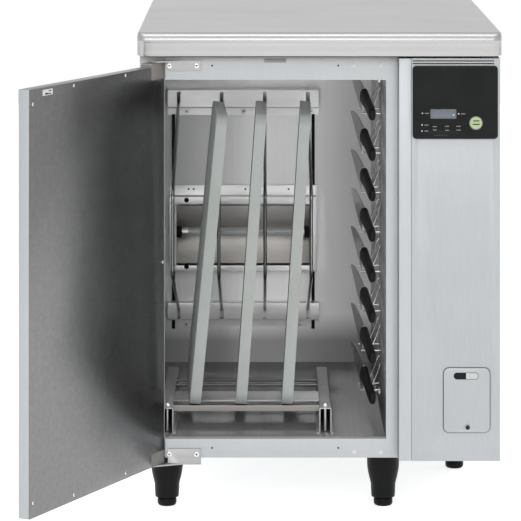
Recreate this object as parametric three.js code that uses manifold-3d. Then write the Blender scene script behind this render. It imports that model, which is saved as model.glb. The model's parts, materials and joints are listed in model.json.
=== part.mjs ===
// Knife sterilizer cabinet: a stainless counter with a hinged door, racks for knives and cutting boards,
// an ultraviolet lamp on the back wall and a machine compartment with the controls on the right.
// Millimetres, +Z up, +X to the right as seen by someone standing in front, who looks along +Y.
import * as THREE from 'three'
import { mergeVertices } from 'three/addons/utils/BufferGeometryUtils.js'
import Module from 'manifold-3d'

const wasm = await Module()
wasm.setup()

// Whole cabinet
const width = 600
const depth = 750
const height = 803

// Clearances and sheet
const seat = 0.3
const overrun = 4
const sheet = 1.2
const roundSides = 20
const cornerSteps = 2

// Worktop
const skirt = 39
const worktopSheet = 1.5
const worktopEdge = 8
const worktopCorner = 10
const shadowGap = 4
const shadowInset = 14
const worktopOverhang = 34

// Body outline
const bodyInset = 3
const bodyBottom = 98
const bodyBackInset = 4
const machineProud = 24
const machineWidth = 166.6

// Sterilizing chamber
const sideWall = 20
const backWall = 46
const floorWall = 26
const roofWall = 22
const frameDepth = 18
const leftPost = 41
const rightPost = 19.9
const hingeRebate = 12
const hingeRebateWidth = 42.5
const topRail = 38
const bottomRail = 31

// Door
const doorThickness = 20
const doorStandOff = 4
const doorRise = 8
const doorDrop = 14
const doorFreeGap = 1.5
const doorOpenAngle = 117
const doorSheet = 1
const pivotFromEdge = 22
const pinRadius = 4
const pinLength = 12
const capWidth = 43
const capHeight = 21
const capRise = 6
const capCorner = 2
const bracketFromPivot = 25
const bracketWidth = 55
const bracketArmRoot = 30
const bracketHeight = 15
const bracketSheet = 2.5
const gripWidth = 30
const gripHeight = 120
const gripDepth = 14
const gripWall = 1.5
const gripFromEdge = 16
const gripBottom = 500
const gripCorner = 6

// Door switch
const doorSwitchLength = 36
const doorSwitchHeight = 6
const doorSwitchProud = 1
const doorSwitchDrop = 3

// Legs
const legRadius = 27
const legWaistRadius = 21.5
const legSoleRadius = 19.5
const legShoulderHeight = 60
const legWaistHeight = 39
const legSoleHeight = 14
const adjusterRadius = 16
const adjusterSoleRadius = 13
const adjusterStemRadius = 6
const adjusterStemTop = 52
const adjusterBoreTop = 56
const adjusterChamfer = 3
const legInset = 43
const legFrontInset = 84
const legRearInset = 111
const machineLegY = 13
const machineLegInset = 51

// Machine side
const pillarWidth = 20.6
const panelReturn = 20
const controlWidth = 140
const controlHeight = 120
const controlRightInset = 4
const controlTopInset = 12
const controlCorner = 6
const controlProud = 3
const controlBodyInset = 8
const controlBodyDepth = 22
const controlWall = 2.5
const displayWidth = 41
const displayHeight = 14
const displayFromLeft = 30
const displayFromTop = 72
const displayDepth = 6
const keyCount = 3
const keyWidth = 13
const keyHeight = 8
const keyPitch = 19.3
const keyFromLeft = 29.5
const keyFromTop = 102
const keyDepth = 8
const keyProud = 1
const keyCorner = 2
const buttonRadius = 10
const buttonFromRight = 36
const buttonFromTop = 94
const buttonProud = 2
const buttonTravel = 1.5
const boardSheet = 1.6
const coverWidth = 76
const coverHeight = 106
const coverCorner = 9
const coverThickness = 3
const coverGap = 0.9
const coverRightInset = 17
const coverBottomRise = 47
const coverNotchRadius = 5
const coverNotchDepth = 1
const switchBoxDepth = 32
const switchBoxWall = 2
const switchBoxLip = 5
const switchWidth = 16
const switchHeight = 24
const switchDepth = 14
const switchTilt = 12
const switchPlay = 0.9
// The rocker's outline, as shares of its half depth and half height.
const rockerOutlineShares = [[-1, 1], [-0.7, 0], [-1, -1], [0.2, -0.9], [0.8, 0], [0.2, 0.9]]
const switchBodyWidth = 26
const switchBodyHeight = 44
const ventCount = 2
const ventFromPanel = 2.5
const ventPitch = 4.4
const ventHeight = 1.6
const ventRightInset = 6
const louvreWidth = 96
const louvreHeight = 5
const louvrePitch = 16
const louvreBottom = 220
const louvreCount = 9
const slotLength = 70
const slotHeight = 6
const slotPitch = 14
const slotCount = 5

// Drying fan
const fanRadius = 46
const fanWidth = 30
const fanHubRadius = 9
const fanShaftRadius = 4
const fanBladeCount = 12
const fanBladeThickness = 1.2
const fanBladeDepth = 9
const fanDisc = 2
const fanHousingGap = 5
const fanHousingWall = 2
const fanInletRadius = 34
const fanFlange = 10
const fanY = 60
const fanZ = 430

// Lamp ballast
const ballastLength = 150
const ballastWidth = 30
const ballastHeight = 40
const ballastEdge = 3
const ballastZ = 300

// Divider rack for the cutting boards
const wireRadius = 3
const wireSides = 8
const bendSteps = 3
const bowPitch = 80.4
const rackRightGap = 98
const bowBend = 22
const bowTopDrop = 125
const bowShoulderShare = 0.703
const bowKneeShare = 0.318
const bowFootRise = 104
const bowReach = 366
const bracketLeftGap = 7
const bracketEndMargin = 20.2
const rackSheet = 1.5
const rackStandOff = 26
const upperBracketFront = 35.5
const upperBracketRise = 25
const lowerBracketFront = 33
const lowerBracketRise = 12
const bracketFoot = 15
const bowSlotWidth = 7
const bowSlotLength = 20
const stayTail = 20

// Lamp unit on the back wall
const lampFrameHeight = 138
const lampFrameRise = 176
const lampFrameDepth = 34
const lampFrameSide = 13
const lampFrameTop = 13
const lampFrameBottom = 11
const lampFrameCorner = 2
const lampPlateSheet = 1.2
const lampPlateRise = 18
const lampRadius = 7.75
const lampRise = 248
const lampFromWall = 24
const lampPinLength = 7
const lampPinRadius = 1.2
const lampPinGap = 6.35
const socketWidth = 10
const socketHeight = 18
const socketDepth = 28
const socketWell = 1.5
const reflectorSheet = 1
const reflectorFlat = 34
const reflectorFromWall = 5

// Rack for the cutting boards on the floor
const channelWidth = 20
const channelHeight = 43
const channelLength = 345
const channelSheet = 1.5
const channelFromFrame = 60
const channelFoot = 4
const rackBarHeight = 10
const rackBarDepth = 12
const rackBarBack = 24
const rackPlateFront = 64
const rackPlateDepth = 77
const rackPlateDrop = 1
const rodRadius = 3
const rodDrop = 4
const rodFromFront = 208
const rodPitch = 40
const rodCount = 2
const knobRadius = 5.5
const knobHeight = 1
const knobStem = 2.2
const knobFromFront = 16

// Cutting boards
const boardThickness = 18.5
const boardHeadroom = 82
const boardDepth = 242
const boardCorner = 24
const boardCornerSteps = 5
const boardFromFrame = 66
const boardFirstFoot = 61.2
const boardPitch = 77
const boardLeans = [5.4, 3.95, 3.6]
const boardYaws = [2.6, 0, -0.8]

// Knives
const knifePitch = 67.6
const knifeTopDrop = 77
const knifeFloorRise = 63
const knifeFromWall = 20
const knifeFromFrame = 44
const knifeRoll = 3
const knifePitchUp = 8.2
const knifeYaw = 5.4
const handleLength = 118
const handleHeight = 27
const handleThickness = 15
const handleButtDrop = 3
const bladeLength = 168
const bladeHeight = 44
const bladeSpine = 2
const bladeEdge = 0.4
const bolsterLength = 9
const bolsterThickness = 5
const bolsterHeight = 20
const bladeSpineDrop = 2
const bolsterRise = 0.8
const handleWaistShare = 0.16
const buttTaperShare = 0.25
const tipDropShare = 0.3
const tipRiseShare = 0.62
const knifeStations = 9
const handleSides = 10

// Knife rack on the right wall
const hookWireRadius = 1.5
const hookWireSides = 6
const hookBend = 4
const hookFromFrame = 182
const hookSpacing = 33
const hookRise = 11.5
const hookDrop = 35.3
const hookTopReach = 32
const hookLowReach = 14
const hookEnd = 2.5
const hookThroat = 9
const stripWidth = 12
const stripThickness = 2
const stripMargin = 12
const tieRadius = 2.5

// Worked-out places
const rad = Math.PI / 180
const left = -width / 2 + bodyInset
const right = width / 2 - bodyInset
const bodyTop = height - skirt - shadowGap
const frameY = -depth / 2 + worktopOverhang
const machineY = frameY - machineProud
const back = depth / 2 - bodyBackInset
const pillarX = right - machineWidth
const chamberLeft = left + sideWall
const chamberRight = pillarX - rightPost
const chamberFloor = bodyBottom + floorWall
const chamberTop = bodyTop - roofWall
const chamberBack = back - backWall
const frameBack = frameY + frameDepth
const linerFront = frameBack + seat
const openingBottom = bodyBottom + bottomRail
const openingTop = bodyTop - topRail
const doorBottom = bodyBottom - doorRise
const doorTop = bodyTop - doorDrop
const doorRight = pillarX - doorFreeGap
const pivotX = left + pivotFromEdge
const pivotY = frameY - doorStandOff - doorThickness / 2
const machineBackY = machineY + panelReturn + seat
const panelLeft = pillarX + pillarWidth + seat
const legX = [left + legInset, pillarX - legInset / 2]
const legFrontY = frameY + legFrontInset
const legRearY = back - legRearInset
const bowSpace = chamberRight - chamberLeft - bracketLeftGap - bracketEndMargin * 2 - rackRightGap
const bowCount = Math.floor(bowSpace / bowPitch) + 1
const knifeCount = Math.floor((chamberTop - knifeTopDrop - chamberFloor - knifeFloorRise) / knifePitch) + 1

// Materials
const paint = (color, metalness, roughness) => new THREE.MeshStandardMaterial({ color, metalness, roughness })
const stainless = paint(0xc9cdd0, 0.9, 0.35)
const brushed = paint(0x9fa3a6, 1, 0.3)
const polished = paint(0xb4b8bb, 1, 0.18)
const greySteel = paint(0xc4c8cb, 0.6, 0.45)
const foam = paint(0xd8c9a0, 0, 0.9)
const timber = paint(0xb09468, 0, 0.8)
const blackPlastic = paint(0x1c1d1f, 0, 0.5)
const panelBlack = paint(0x141517, 0, 0.25)
const greyPlastic = paint(0xa5a8aa, 0, 0.5)
const liquidCrystal = paint(0x6f7a76, 0, 0.2)
const keyPlastic = paint(0x2b2d30, 0, 0.4)
const greenPlastic = paint(0xb7d3b0, 0, 0.35)
const circuitGreen = paint(0x2f5d3a, 0, 0.6)
const clearGlass = paint(0xe8eef2, 0, 0.08)
const boardPlastic = paint(0xaab3ae, 0, 0.6)
const knifeBlack = paint(0x202021, 0, 0.45)

// Shape helpers

function block (x0, x1, y0, y1, z0, z1) {
  const geometry = new THREE.BoxGeometry(x1 - x0, y1 - y0, z1 - z0)
  return geometry.translate((x0 + x1) / 2, (y0 + y1) / 2, (z0 + z1) / 2)
}

function cylinder (radius, length, sides = roundSides) {
  return new THREE.CylinderGeometry(radius, radius, length, sides)
}

function toSolid (geometry) {
  const bare = geometry.clone()
  bare.deleteAttribute('normal')
  bare.deleteAttribute('uv')
  const merged = mergeVertices(bare)
  const vertProperties = merged.attributes.position.array
  const triVerts = new Uint32Array(merged.index.array)
  return new wasm.Manifold(new wasm.Mesh({ numProp: 3, vertProperties, triVerts }))
}

function toGeometry (solid) {
  const { vertProperties, triVerts } = solid.getMesh()
  const geometry = new THREE.BufferGeometry()
  geometry.setAttribute('position', new THREE.BufferAttribute(new Float32Array(vertProperties), 3))
  geometry.setIndex(new THREE.BufferAttribute(new Uint32Array(triVerts), 1))
  return geometry
}

const join = (first, ...others) => {
  return toGeometry(others.reduce((solid, other) => solid.add(toSolid(other)), toSolid(first)))
}

const cut = (first, ...tools) => {
  return toGeometry(tools.reduce((solid, tool) => solid.subtract(toSolid(tool)), toSolid(first)))
}

// A rectangle with round corners, as a shape or as a hole in one.
function roundedRect (x0, x1, y0, y1, radius, path = new THREE.Shape()) {
  path.moveTo(x0 + radius, y0)
  path.lineTo(x1 - radius, y0)
  path.absarc(x1 - radius, y0 + radius, radius, -Math.PI / 2, 0)
  path.lineTo(x1, y1 - radius)
  path.absarc(x1 - radius, y1 - radius, radius, 0, Math.PI / 2)
  path.lineTo(x0 + radius, y1)
  path.absarc(x0 + radius, y1 - radius, radius, Math.PI / 2, Math.PI)
  path.lineTo(x0, y0 + radius)
  path.absarc(x0 + radius, y0 + radius, radius, Math.PI, Math.PI * 1.5)
  return path
}

const extruded = (shape, depth, steps = cornerSteps) => {
  return new THREE.ExtrudeGeometry(shape, { depth, bevelEnabled: false, curveSegments: steps })
}

const alongZ = (shape, z0, z1, steps) => extruded(shape, z1 - z0, steps).translate(0, 0, z0)

// The shape is drawn in X and Z.
function alongY (shape, y0, y1, steps) {
  return extruded(shape, y1 - y0, steps).rotateX(Math.PI / 2).translate(0, y1, 0)
}

// The shape is drawn in Y and Z.
function alongX (shape, x0, x1, steps) {
  const turn = new THREE.Matrix4()
  turn.makeBasis(new THREE.Vector3(0, 1, 0), new THREE.Vector3(0, 0, 1), new THREE.Vector3(1, 0, 0))
  return extruded(shape, x1 - x0, steps).applyMatrix4(turn).translate(x0, 0, 0)
}

// The section of a folded sheet: a line with corners, thickened to its left.
function folded (corners, thickness) {
  const line = corners.map(([x, y]) => new THREE.Vector2(x, y))
  const normals = line.slice(1).map((point, i) => {
    const along = point.clone().sub(line[i]).normalize()
    return new THREE.Vector2(-along.y, along.x)
  })
  const offset = line.map((point, i) => {
    const before = normals[Math.max(i - 1, 0)]
    const after = normals[Math.min(i, normals.length - 1)]
    const mitre = before.clone().add(after).normalize()
    return point.clone().addScaledVector(mitre, thickness / mitre.dot(after))
  })
  return new THREE.Shape([...line, ...offset.reverse()])
}

// A path whose steps fall on its knots, so that straight runs take one step and bends take several.
class WirePath extends THREE.Curve {
  constructor (knots) {
    super()
    this.knots = knots
  }

  getUtoTmapping (u) {
    return u
  }

  getPoint (t, target = new THREE.Vector3()) {
    const place = t * (this.knots.length - 1)
    const index = Math.min(Math.floor(place), this.knots.length - 2)
    return target.lerpVectors(this.knots[index], this.knots[index + 1], place - index)
  }

  getTangent (t, target = new THREE.Vector3()) {
    const last = this.knots.length - 1
    const index = Math.round(t * last)
    const heading = i => this.knots[i + 1].clone().sub(this.knots[i]).normalize()
    return target.copy(heading(Math.max(index - 1, 0))).add(heading(Math.min(index, last - 1))).normalize()
  }
}

// A wire bent at each inner corner.
function wire (corners, radius, bend, sides) {
  const knots = [corners[0]]
  for (let i = 1; i < corners.length - 1; i++) {
    const toBefore = corners[i - 1].clone().sub(corners[i]).normalize()
    const toAfter = corners[i + 1].clone().sub(corners[i]).normalize()
    const reach = bend / Math.tan(toBefore.angleTo(toAfter) / 2)
    const start = corners[i].clone().addScaledVector(toBefore, reach)
    const end = corners[i].clone().addScaledVector(toAfter, reach)
    knots.push(...new THREE.QuadraticBezierCurve3(start, corners[i], end).getPoints(bendSteps))
  }
  knots.push(corners[corners.length - 1])
  const section = new THREE.Shape().absarc(0, 0, radius, 0, Math.PI * 2)
  return new THREE.ExtrudeGeometry(section, {
    steps: knots.length - 1,
    extrudePath: new WirePath(knots),
    curveSegments: sides / 2
  })
}

// A closed skin over rings of points that have the same count and run the same way.
function loft (rings) {
  const count = rings[0].length
  const positions = rings.flat().flatMap(point => point.toArray())
  const index = []
  for (let ring = 0; ring < rings.length - 1; ring++) {
    for (let i = 0; i < count; i++) {
      const a = ring * count + i
      const b = ring * count + (i + 1) % count
      index.push(a, b, b + count, a, b + count, a + count)
    }
  }
  const lastRing = (rings.length - 1) * count
  for (let i = 1; i < count - 1; i++) {
    index.push(0, i + 1, i, lastRing, lastRing + i, lastRing + i + 1)
  }
  const geometry = new THREE.BufferGeometry()
  geometry.setAttribute('position', new THREE.Float32BufferAttribute(positions, 3))
  geometry.setIndex(index)
  return geometry
}

const point = (x, y, z) => new THREE.Vector3(x, y, z)

const cabinet = new THREE.Group()

function add (name, geometry, material, parent = cabinet) {
  const mesh = new THREE.Mesh(geometry, material)
  mesh.name = name
  parent.add(mesh)
  return mesh
}

// Worktop: a pan of folded sheet with a round top edge, on a timber core that stands on the body

function worktop () {
  const half = width / 2 - worktopEdge
  const halfDepth = depth / 2 - worktopEdge
  const outline = roundedRect(-half, half, -halfDepth, halfDepth, worktopCorner - worktopEdge)
  const slab = new THREE.ExtrudeGeometry(outline, {
    depth: skirt,
    bevelThickness: worktopEdge,
    bevelSize: worktopEdge,
    bevelSegments: cornerSteps,
    curveSegments: cornerSteps
  }).translate(0, 0, height - skirt - worktopEdge)
  const below = block(-width, width, -depth, depth, height - skirt - worktopEdge * 3, height - skirt)
  return cut(slab, below, ...worktopHollow(0, height - skirt - overrun))
}

// The space inside the pan, less a clearance: a wide lower step and an upper one inside the round edge.
function worktopHollow (clearance, z0) {
  const wide = worktopSheet + clearance
  const narrow = worktopEdge + clearance
  return [
    alongZ(roundedRect(-width / 2 + wide, width / 2 - wide, -depth / 2 + wide, depth / 2 - wide,
      worktopCorner - worktopSheet), z0, height - worktopEdge - clearance),
    alongZ(roundedRect(-width / 2 + narrow, width / 2 - narrow, -depth / 2 + narrow, depth / 2 - narrow,
      worktopCorner - worktopSheet), z0, height - worktopSheet - clearance)
  ]
}

function worktopCore () {
  const foot = block(left + shadowInset, right - shadowInset, frameY + shadowInset, back - shadowInset,
    bodyTop + seat, height - skirt + seat)
  return join(foot, ...worktopHollow(seat, height - skirt))
}

// Body shells

// Slots through the partition, which let the drying air through.
function airSlots (x0, x1) {
  const first = fanZ - slotPitch * (slotCount - 1) / 2
  return Array.from({ length: slotCount }, (_, i) => {
    const z = first + i * slotPitch
    return block(x0, x1, fanY - slotLength / 2, fanY + slotLength / 2, z - slotHeight / 2, z + slotHeight / 2)
  })
}

function outerCasing () {
  const shell = block(left, pillarX, linerFront, back, bodyBottom, bodyTop)
  const inside = block(left + sheet, pillarX - sheet, linerFront - overrun, back - sheet,
    bodyBottom + sheet, bodyTop + overrun)
  return cut(shell, inside, ...airSlots(pillarX - sheet - overrun, pillarX + overrun))
}

function insulation () {
  const inset = sheet + seat
  const filling = block(left + inset, pillarX - inset, linerFront, back - inset, bodyBottom + inset, bodyTop)
  const reach = sheet + seat
  const cavity = block(chamberLeft - reach, chamberRight + reach, linerFront - overrun, chamberBack + reach,
    chamberFloor - reach, chamberTop + reach)
  return cut(filling, cavity, ...airSlots(chamberRight, pillarX))
}

function innerLiner () {
  const shell = block(chamberLeft - sheet, chamberRight + sheet, linerFront, chamberBack + sheet,
    chamberFloor - sheet, chamberTop + sheet)
  const inside = block(chamberLeft, chamberRight, linerFront - overrun, chamberBack, chamberFloor, chamberTop)
  return cut(shell, inside, ...airSlots(chamberRight - overrun, chamberRight + sheet + overrun))
}

// The front frame is a channel that is open at the back, set back on the left for the door's swing.
function frontFrame () {
  const x1 = pillarX - seat
  const rebateX = left + hingeRebateWidth
  const ring = cut(
    block(left, x1, frameY, frameBack, bodyBottom, bodyTop),
    block(left + leftPost, chamberRight, frameY - overrun, frameBack + overrun, openingBottom, openingTop),
    block(left - overrun, rebateX, frameY - overrun, frameY + hingeRebate,
      bodyBottom - overrun, bodyTop + overrun)
  )
  const hollow = cut(
    block(left + sheet, x1 - sheet, frameY + sheet, frameBack + overrun, bodyBottom + sheet, bodyTop - sheet),
    block(left + leftPost - sheet, chamberRight + sheet, frameY, frameBack + 2 * overrun,
      openingBottom - sheet, openingTop + sheet),
    block(left, rebateX + sheet, frameY, frameY + hingeRebate + sheet, bodyBottom, bodyTop)
  )
  return cut(ring, hollow)
}

function machineCasing () {
  const shell = block(pillarX + sheet + seat * 2, right, machineBackY, back, bodyBottom, bodyTop)
  const inside = block(pillarX - overrun, right - sheet, machineBackY - overrun, back - sheet,
    bodyBottom + sheet, bodyTop + overrun)
  const middle = (pillarX + right) / 2
  const louvres = Array.from({ length: louvreCount }, (_, i) => {
    const z = louvreBottom + i * louvrePitch
    return block(middle - louvreWidth / 2, middle + louvreWidth / 2, back - sheet - overrun, back + overrun,
      z, z + louvreHeight)
  })
  return cut(shell, inside, ...louvres)
}

function pillar () {
  const section = folded([
    [pillarX + seat, frameBack],
    [pillarX + seat, machineY],
    [pillarX + pillarWidth, machineY],
    [pillarX + pillarWidth, machineBackY - seat]
  ], sheet)
  return alongZ(section, bodyBottom, bodyTop)
}

// Front panel of the machine side

const controlRight = right - controlRightInset
const controlLeft = controlRight - controlWidth
const controlTop = bodyTop - controlTopInset
const controlBottom = controlTop - controlHeight
const controlFront = machineY - seat - controlProud
const coverRight = right - coverRightInset
const coverLeft = coverRight - coverWidth
const coverBottom = bodyBottom + coverBottomRise
const coverTop = coverBottom + coverHeight

function frontPanel () {
  const pan = cut(
    block(panelLeft, right, machineY, machineY + panelReturn, bodyBottom, bodyTop),
    block(panelLeft + sheet, right - sheet, machineY + sheet, machineY + panelReturn + overrun,
      bodyBottom + sheet, bodyTop - sheet)
  )
  const inset = controlBodyInset - seat
  const controlHole = roundedRect(controlLeft + inset, controlRight - inset, controlBottom + inset,
    controlTop - inset, controlCorner)
  const coverHole = roundedRect(coverLeft - coverGap, coverRight + coverGap, coverBottom - coverGap,
    coverTop + coverGap, coverCorner + coverGap)
  const vents = Array.from({ length: ventCount }, (_, i) => {
    const z = controlTop + ventFromPanel + i * ventPitch
    return block(controlLeft, controlRight - ventRightInset, machineY - overrun, machineY + sheet + overrun,
      z, z + ventHeight)
  })
  return cut(pan,
    alongY(controlHole, machineY - overrun, machineY + sheet + overrun),
    alongY(coverHole, machineY - overrun, machineY + sheet + overrun), ...vents)
}

const displayX = controlLeft + displayFromLeft
const displayZ = controlTop - displayFromTop
const keyZ = controlTop - keyFromTop
const keyX = i => controlLeft + keyFromLeft + keyWidth / 2 + i * keyPitch
const buttonX = controlRight - buttonFromRight
const buttonZ = controlTop - buttonFromTop

const keyShape = (x, grow) => roundedRect(x - keyWidth / 2 - grow, x + keyWidth / 2 + grow,
  keyZ - keyHeight / 2 - grow, keyZ + keyHeight / 2 + grow, keyCorner + grow)

const buttonDisc = (radius, y0, y1) => cylinder(radius, y1 - y0).translate(buttonX, (y0 + y1) / 2, buttonZ)

function controlPanel () {
  const bezelBack = machineY - seat
  const bodyBack = machineY + controlBodyDepth
  const bezel = alongY(roundedRect(controlLeft, controlRight, controlBottom, controlTop, controlCorner),
    controlFront, bezelBack)
  const inset = controlBodyInset
  const body = alongY(roundedRect(controlLeft + inset, controlRight - inset, controlBottom + inset,
    controlTop - inset, controlCorner), bezelBack - seat, bodyBack)
  const hollowInset = inset + controlWall
  const hollow = block(controlLeft + hollowInset, controlRight - hollowInset, controlFront + controlWall,
    bodyBack + overrun, controlBottom + hollowInset, controlTop - hollowInset)
  const window = block(displayX, displayX + displayWidth, controlFront - overrun,
    controlFront + controlWall + overrun, displayZ - displayHeight, displayZ)
  const keyHoles = Array.from({ length: keyCount }, (_, i) => {
    return alongY(keyShape(keyX(i), seat), controlFront - overrun, controlFront + displayDepth)
  })
  return cut(join(bezel, body), hollow, window, ...keyHoles,
    buttonDisc(buttonRadius + seat, controlFront - overrun, controlFront + displayDepth))
}

const display = () => block(displayX + seat, displayX + displayWidth - seat, controlFront + seat,
  controlFront + displayDepth, displayZ - displayHeight + seat, displayZ - seat)

function key (i) {
  const cap = alongY(keyShape(keyX(i), 0), controlFront - keyProud, controlFront + keyDepth)
  const flangeFront = controlFront + controlWall + seat
  const flange = block(keyX(i) - keyWidth / 2 - keyCorner, keyX(i) + keyWidth / 2 + keyCorner, flangeFront,
    controlFront + keyDepth, keyZ - keyHeight / 2 - keyCorner, keyZ + keyHeight / 2 + keyCorner)
  return join(cap, flange)
}

function startButton () {
  const dome = buttonDisc(buttonRadius, controlFront - buttonProud, controlFront + keyDepth)
  const flangeFront = controlFront + controlWall + seat
  const flange = buttonDisc(buttonRadius + keyCorner, flangeFront, controlFront + keyDepth)
  return join(dome, flange)
}

function controlBoard () {
  const inset = controlBodyInset + controlWall + seat
  const y = controlFront + keyDepth + buttonTravel + seat
  return block(controlLeft + inset, controlRight - inset, y, y + boardSheet,
    controlBottom + inset, controlTop - inset)
}

// Power switch behind its flap

function powerCover () {
  const y = machineY - coverThickness + sheet
  const outline = roundedRect(coverLeft, coverRight, coverBottom, coverTop, coverCorner)
  const notch = cylinder(coverNotchRadius, coverNotchDepth * 2)
    .translate((coverLeft + coverRight) / 2, y, coverBottom + coverCorner)
  return cut(alongY(outline, y, y + coverThickness), notch)
}

function switchBox () {
  const front = machineY + sheet + seat
  const lip = coverGap + switchBoxLip
  const tray = block(coverLeft - lip, coverRight + lip, front, front + switchBoxDepth,
    coverBottom - lip, coverTop + lip)
  const inside = roundedRect(coverLeft - coverGap, coverRight + coverGap, coverBottom - coverGap,
    coverTop + coverGap, coverCorner + coverGap)
  const middleX = (coverLeft + coverRight) / 2
  const middleZ = (coverBottom + coverTop) / 2
  const body = block(middleX - switchBodyWidth / 2, middleX + switchBodyWidth / 2,
    front + switchDepth, front + switchBoxDepth - switchBoxWall + seat,
    middleZ - switchBodyHeight / 2, middleZ + switchBodyHeight / 2)
  const well = block(middleX - switchWidth / 2 - seat, middleX + switchWidth / 2 + seat,
    front, front + switchBoxDepth - switchBoxWall,
    middleZ - switchHeight / 2 - switchPlay, middleZ + switchHeight / 2 + switchPlay)
  const open = alongY(inside, front - overrun, front + switchBoxDepth - switchBoxWall)
  return cut(join(cut(tray, open), body), well)
}

// The rocker's section is a shallow vee that tilts about its own middle.
const rockerY = machineY + sheet + seat + switchDepth + switchDepth / 2

function powerSwitch () {
  const half = switchHeight / 2 - switchPlay
  const reach = switchDepth / 2
  const section = new THREE.Shape(rockerOutlineShares.map(([y, z]) => new THREE.Vector2(y * reach, z * half)))
  return alongX(section, -switchWidth / 2, switchWidth / 2).rotateX(-switchTilt * rad)
    .translate((coverLeft + coverRight) / 2, rockerY, (coverBottom + coverTop) / 2)
}

// Drying fan: a drum wheel on a shaft that is part of its housing

const fanX0 = pillarX + seat * 2
const fanHousingLength = fanHousingWall + fanHousingGap + fanWidth + fanHousingGap

function fanTurned (geometry, x) {
  return geometry.rotateZ(Math.PI / 2).translate(x, fanY, fanZ)
}

function fanHousing () {
  const outer = fanRadius + fanHousingGap + fanHousingWall
  const drum = fanTurned(cylinder(outer, fanHousingLength), fanX0 + fanHousingLength / 2)
  const flange = block(fanX0, fanX0 + fanHousingWall, fanY - outer - fanFlange, fanY + outer + fanFlange,
    fanZ - outer - fanFlange, fanZ + outer + fanFlange)
  const bore = fanTurned(cylinder(outer - fanHousingWall, fanHousingLength),
    fanX0 + fanHousingLength / 2 - fanHousingWall)
  const inlet = fanTurned(cylinder(fanInletRadius, fanHousingLength), fanX0 + fanHousingLength)
  const bar = block(fanX0 + fanHousingLength - fanHousingWall, fanX0 + fanHousingLength, fanY - outer + seat,
    fanY + outer - seat, fanZ - fanHubRadius, fanZ + fanHubRadius)
  const shaft = fanTurned(cylinder(fanShaftRadius, fanHousingLength - fanHousingGap),
    fanX0 + (fanHousingLength + fanHousingGap) / 2)
  return join(cut(join(drum, flange), bore, inlet), bar, shaft)
}

function fanWheel () {
  const x0 = fanX0 + fanHousingGap
  const x1 = x0 + fanWidth
  const disc = fanTurned(cylinder(fanRadius, fanDisc), x0 + fanDisc / 2)
  const hub = fanTurned(cylinder(fanHubRadius, fanWidth), (x0 + x1) / 2)
  const rim = cut(
    fanTurned(cylinder(fanRadius, fanDisc), x1 - fanDisc / 2),
    fanTurned(cylinder(fanRadius - fanBladeDepth, fanDisc + overrun), x1 - fanDisc / 2)
  )
  const blades = Array.from({ length: fanBladeCount }, (_, i) => {
    const blade = block(x0 + fanDisc / 2, x1 - fanDisc / 2, -fanBladeThickness / 2, fanBladeThickness / 2,
      fanRadius - fanBladeDepth, fanRadius - fanBladeThickness)
    return blade.rotateX(i * 2 * Math.PI / fanBladeCount).translate(0, fanY, fanZ)
  })
  const bore = fanTurned(cylinder(fanShaftRadius + seat, fanWidth + overrun), (x0 + x1) / 2)
  return cut(join(disc, hub, rim, ...blades), bore)
}

function lampBallast () {
  const x0 = pillarX + seat * 2
  const outline = roundedRect(x0, x0 + ballastWidth, ballastZ, ballastZ + ballastHeight, ballastEdge)
  return alongY(outline, fanY - ballastLength / 2, fanY + ballastLength / 2)
}

// Divider rack: two folded brackets on the back wall, with four bent wires welded between them

const rackLeft = chamberLeft + bracketLeftGap
const rackRight = rackLeft + bowPitch * (bowCount - 1) + bracketEndMargin * 2
const rackFrontY = chamberBack - rackStandOff

function wallBracket (top, front) {
  const wallY = chamberBack - seat
  const section = folded([
    [wallY, top],
    [rackFrontY, top],
    [rackFrontY, top - front],
    [wallY - rackSheet, top - front],
    [wallY - rackSheet, top - front - bracketFoot]
  ], rackSheet)
  return alongX(section, rackLeft, rackRight)
}

const bowTop = chamberTop - bowTopDrop
const bowFoot = chamberFloor + bowFootRise
const upperBracketTop = bowTop + upperBracketRise
const lowerBracketTop = bowFoot + lowerBracketRise

function dividerRack () {
  const weldY = rackFrontY + rackSheet / 2
  const bowX = i => rackLeft + bracketEndMargin + i * bowPitch
  const bowZ = share => bowFoot + (bowTop - bowFoot) * share
  const bows = Array.from({ length: bowCount }, (_, i) => wire([
    point(bowX(i), weldY, bowTop),
    point(bowX(i), rackFrontY - bowReach, bowZ(bowShoulderShare)),
    point(bowX(i), rackFrontY - bowReach, bowZ(bowKneeShare)),
    point(bowX(i), weldY, bowFoot)
  ], wireRadius, bowBend, wireSides))
  const slots = low => Array.from({ length: bowCount }, (_, i) => {
    return block(bowX(i) - bowSlotWidth / 2, bowX(i) + bowSlotWidth / 2, rackFrontY - overrun,
      rackFrontY + rackSheet + overrun, low, low + bowSlotLength)
  })
  const stays = [rackLeft + bracketEndMargin / 2, rackRight - bracketEndMargin / 2].map(x => {
    return block(x - wireRadius, x + wireRadius, chamberBack - seat - rackSheet * 2, chamberBack - seat,
      lowerBracketTop - lowerBracketFront - stayTail,
      upperBracketTop - upperBracketFront - bracketFoot + rackSheet)
  })
  const upper = cut(wallBracket(upperBracketTop, upperBracketFront), ...slots(bowTop))
  const lower = cut(wallBracket(lowerBracketTop, lowerBracketFront), ...slots(bowFoot - bowSlotLength))
  return join(upper, lower, ...bows, ...stays)
}

// Lamp unit

const lampZ = chamberFloor + lampRise
const lampY = chamberBack - lampFromWall
const lampMiddle = (rackLeft + rackRight) / 2
const lampFrameHalf = (rackRight - rackLeft) / 2 - bracketLeftGap / 2
const lampFrameLow = chamberFloor + lampFrameRise
const socketOuter = lampFrameHalf - lampFrameSide - seat
const lampSpan = 2 * (socketOuter - socketWidth + socketWell)

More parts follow.
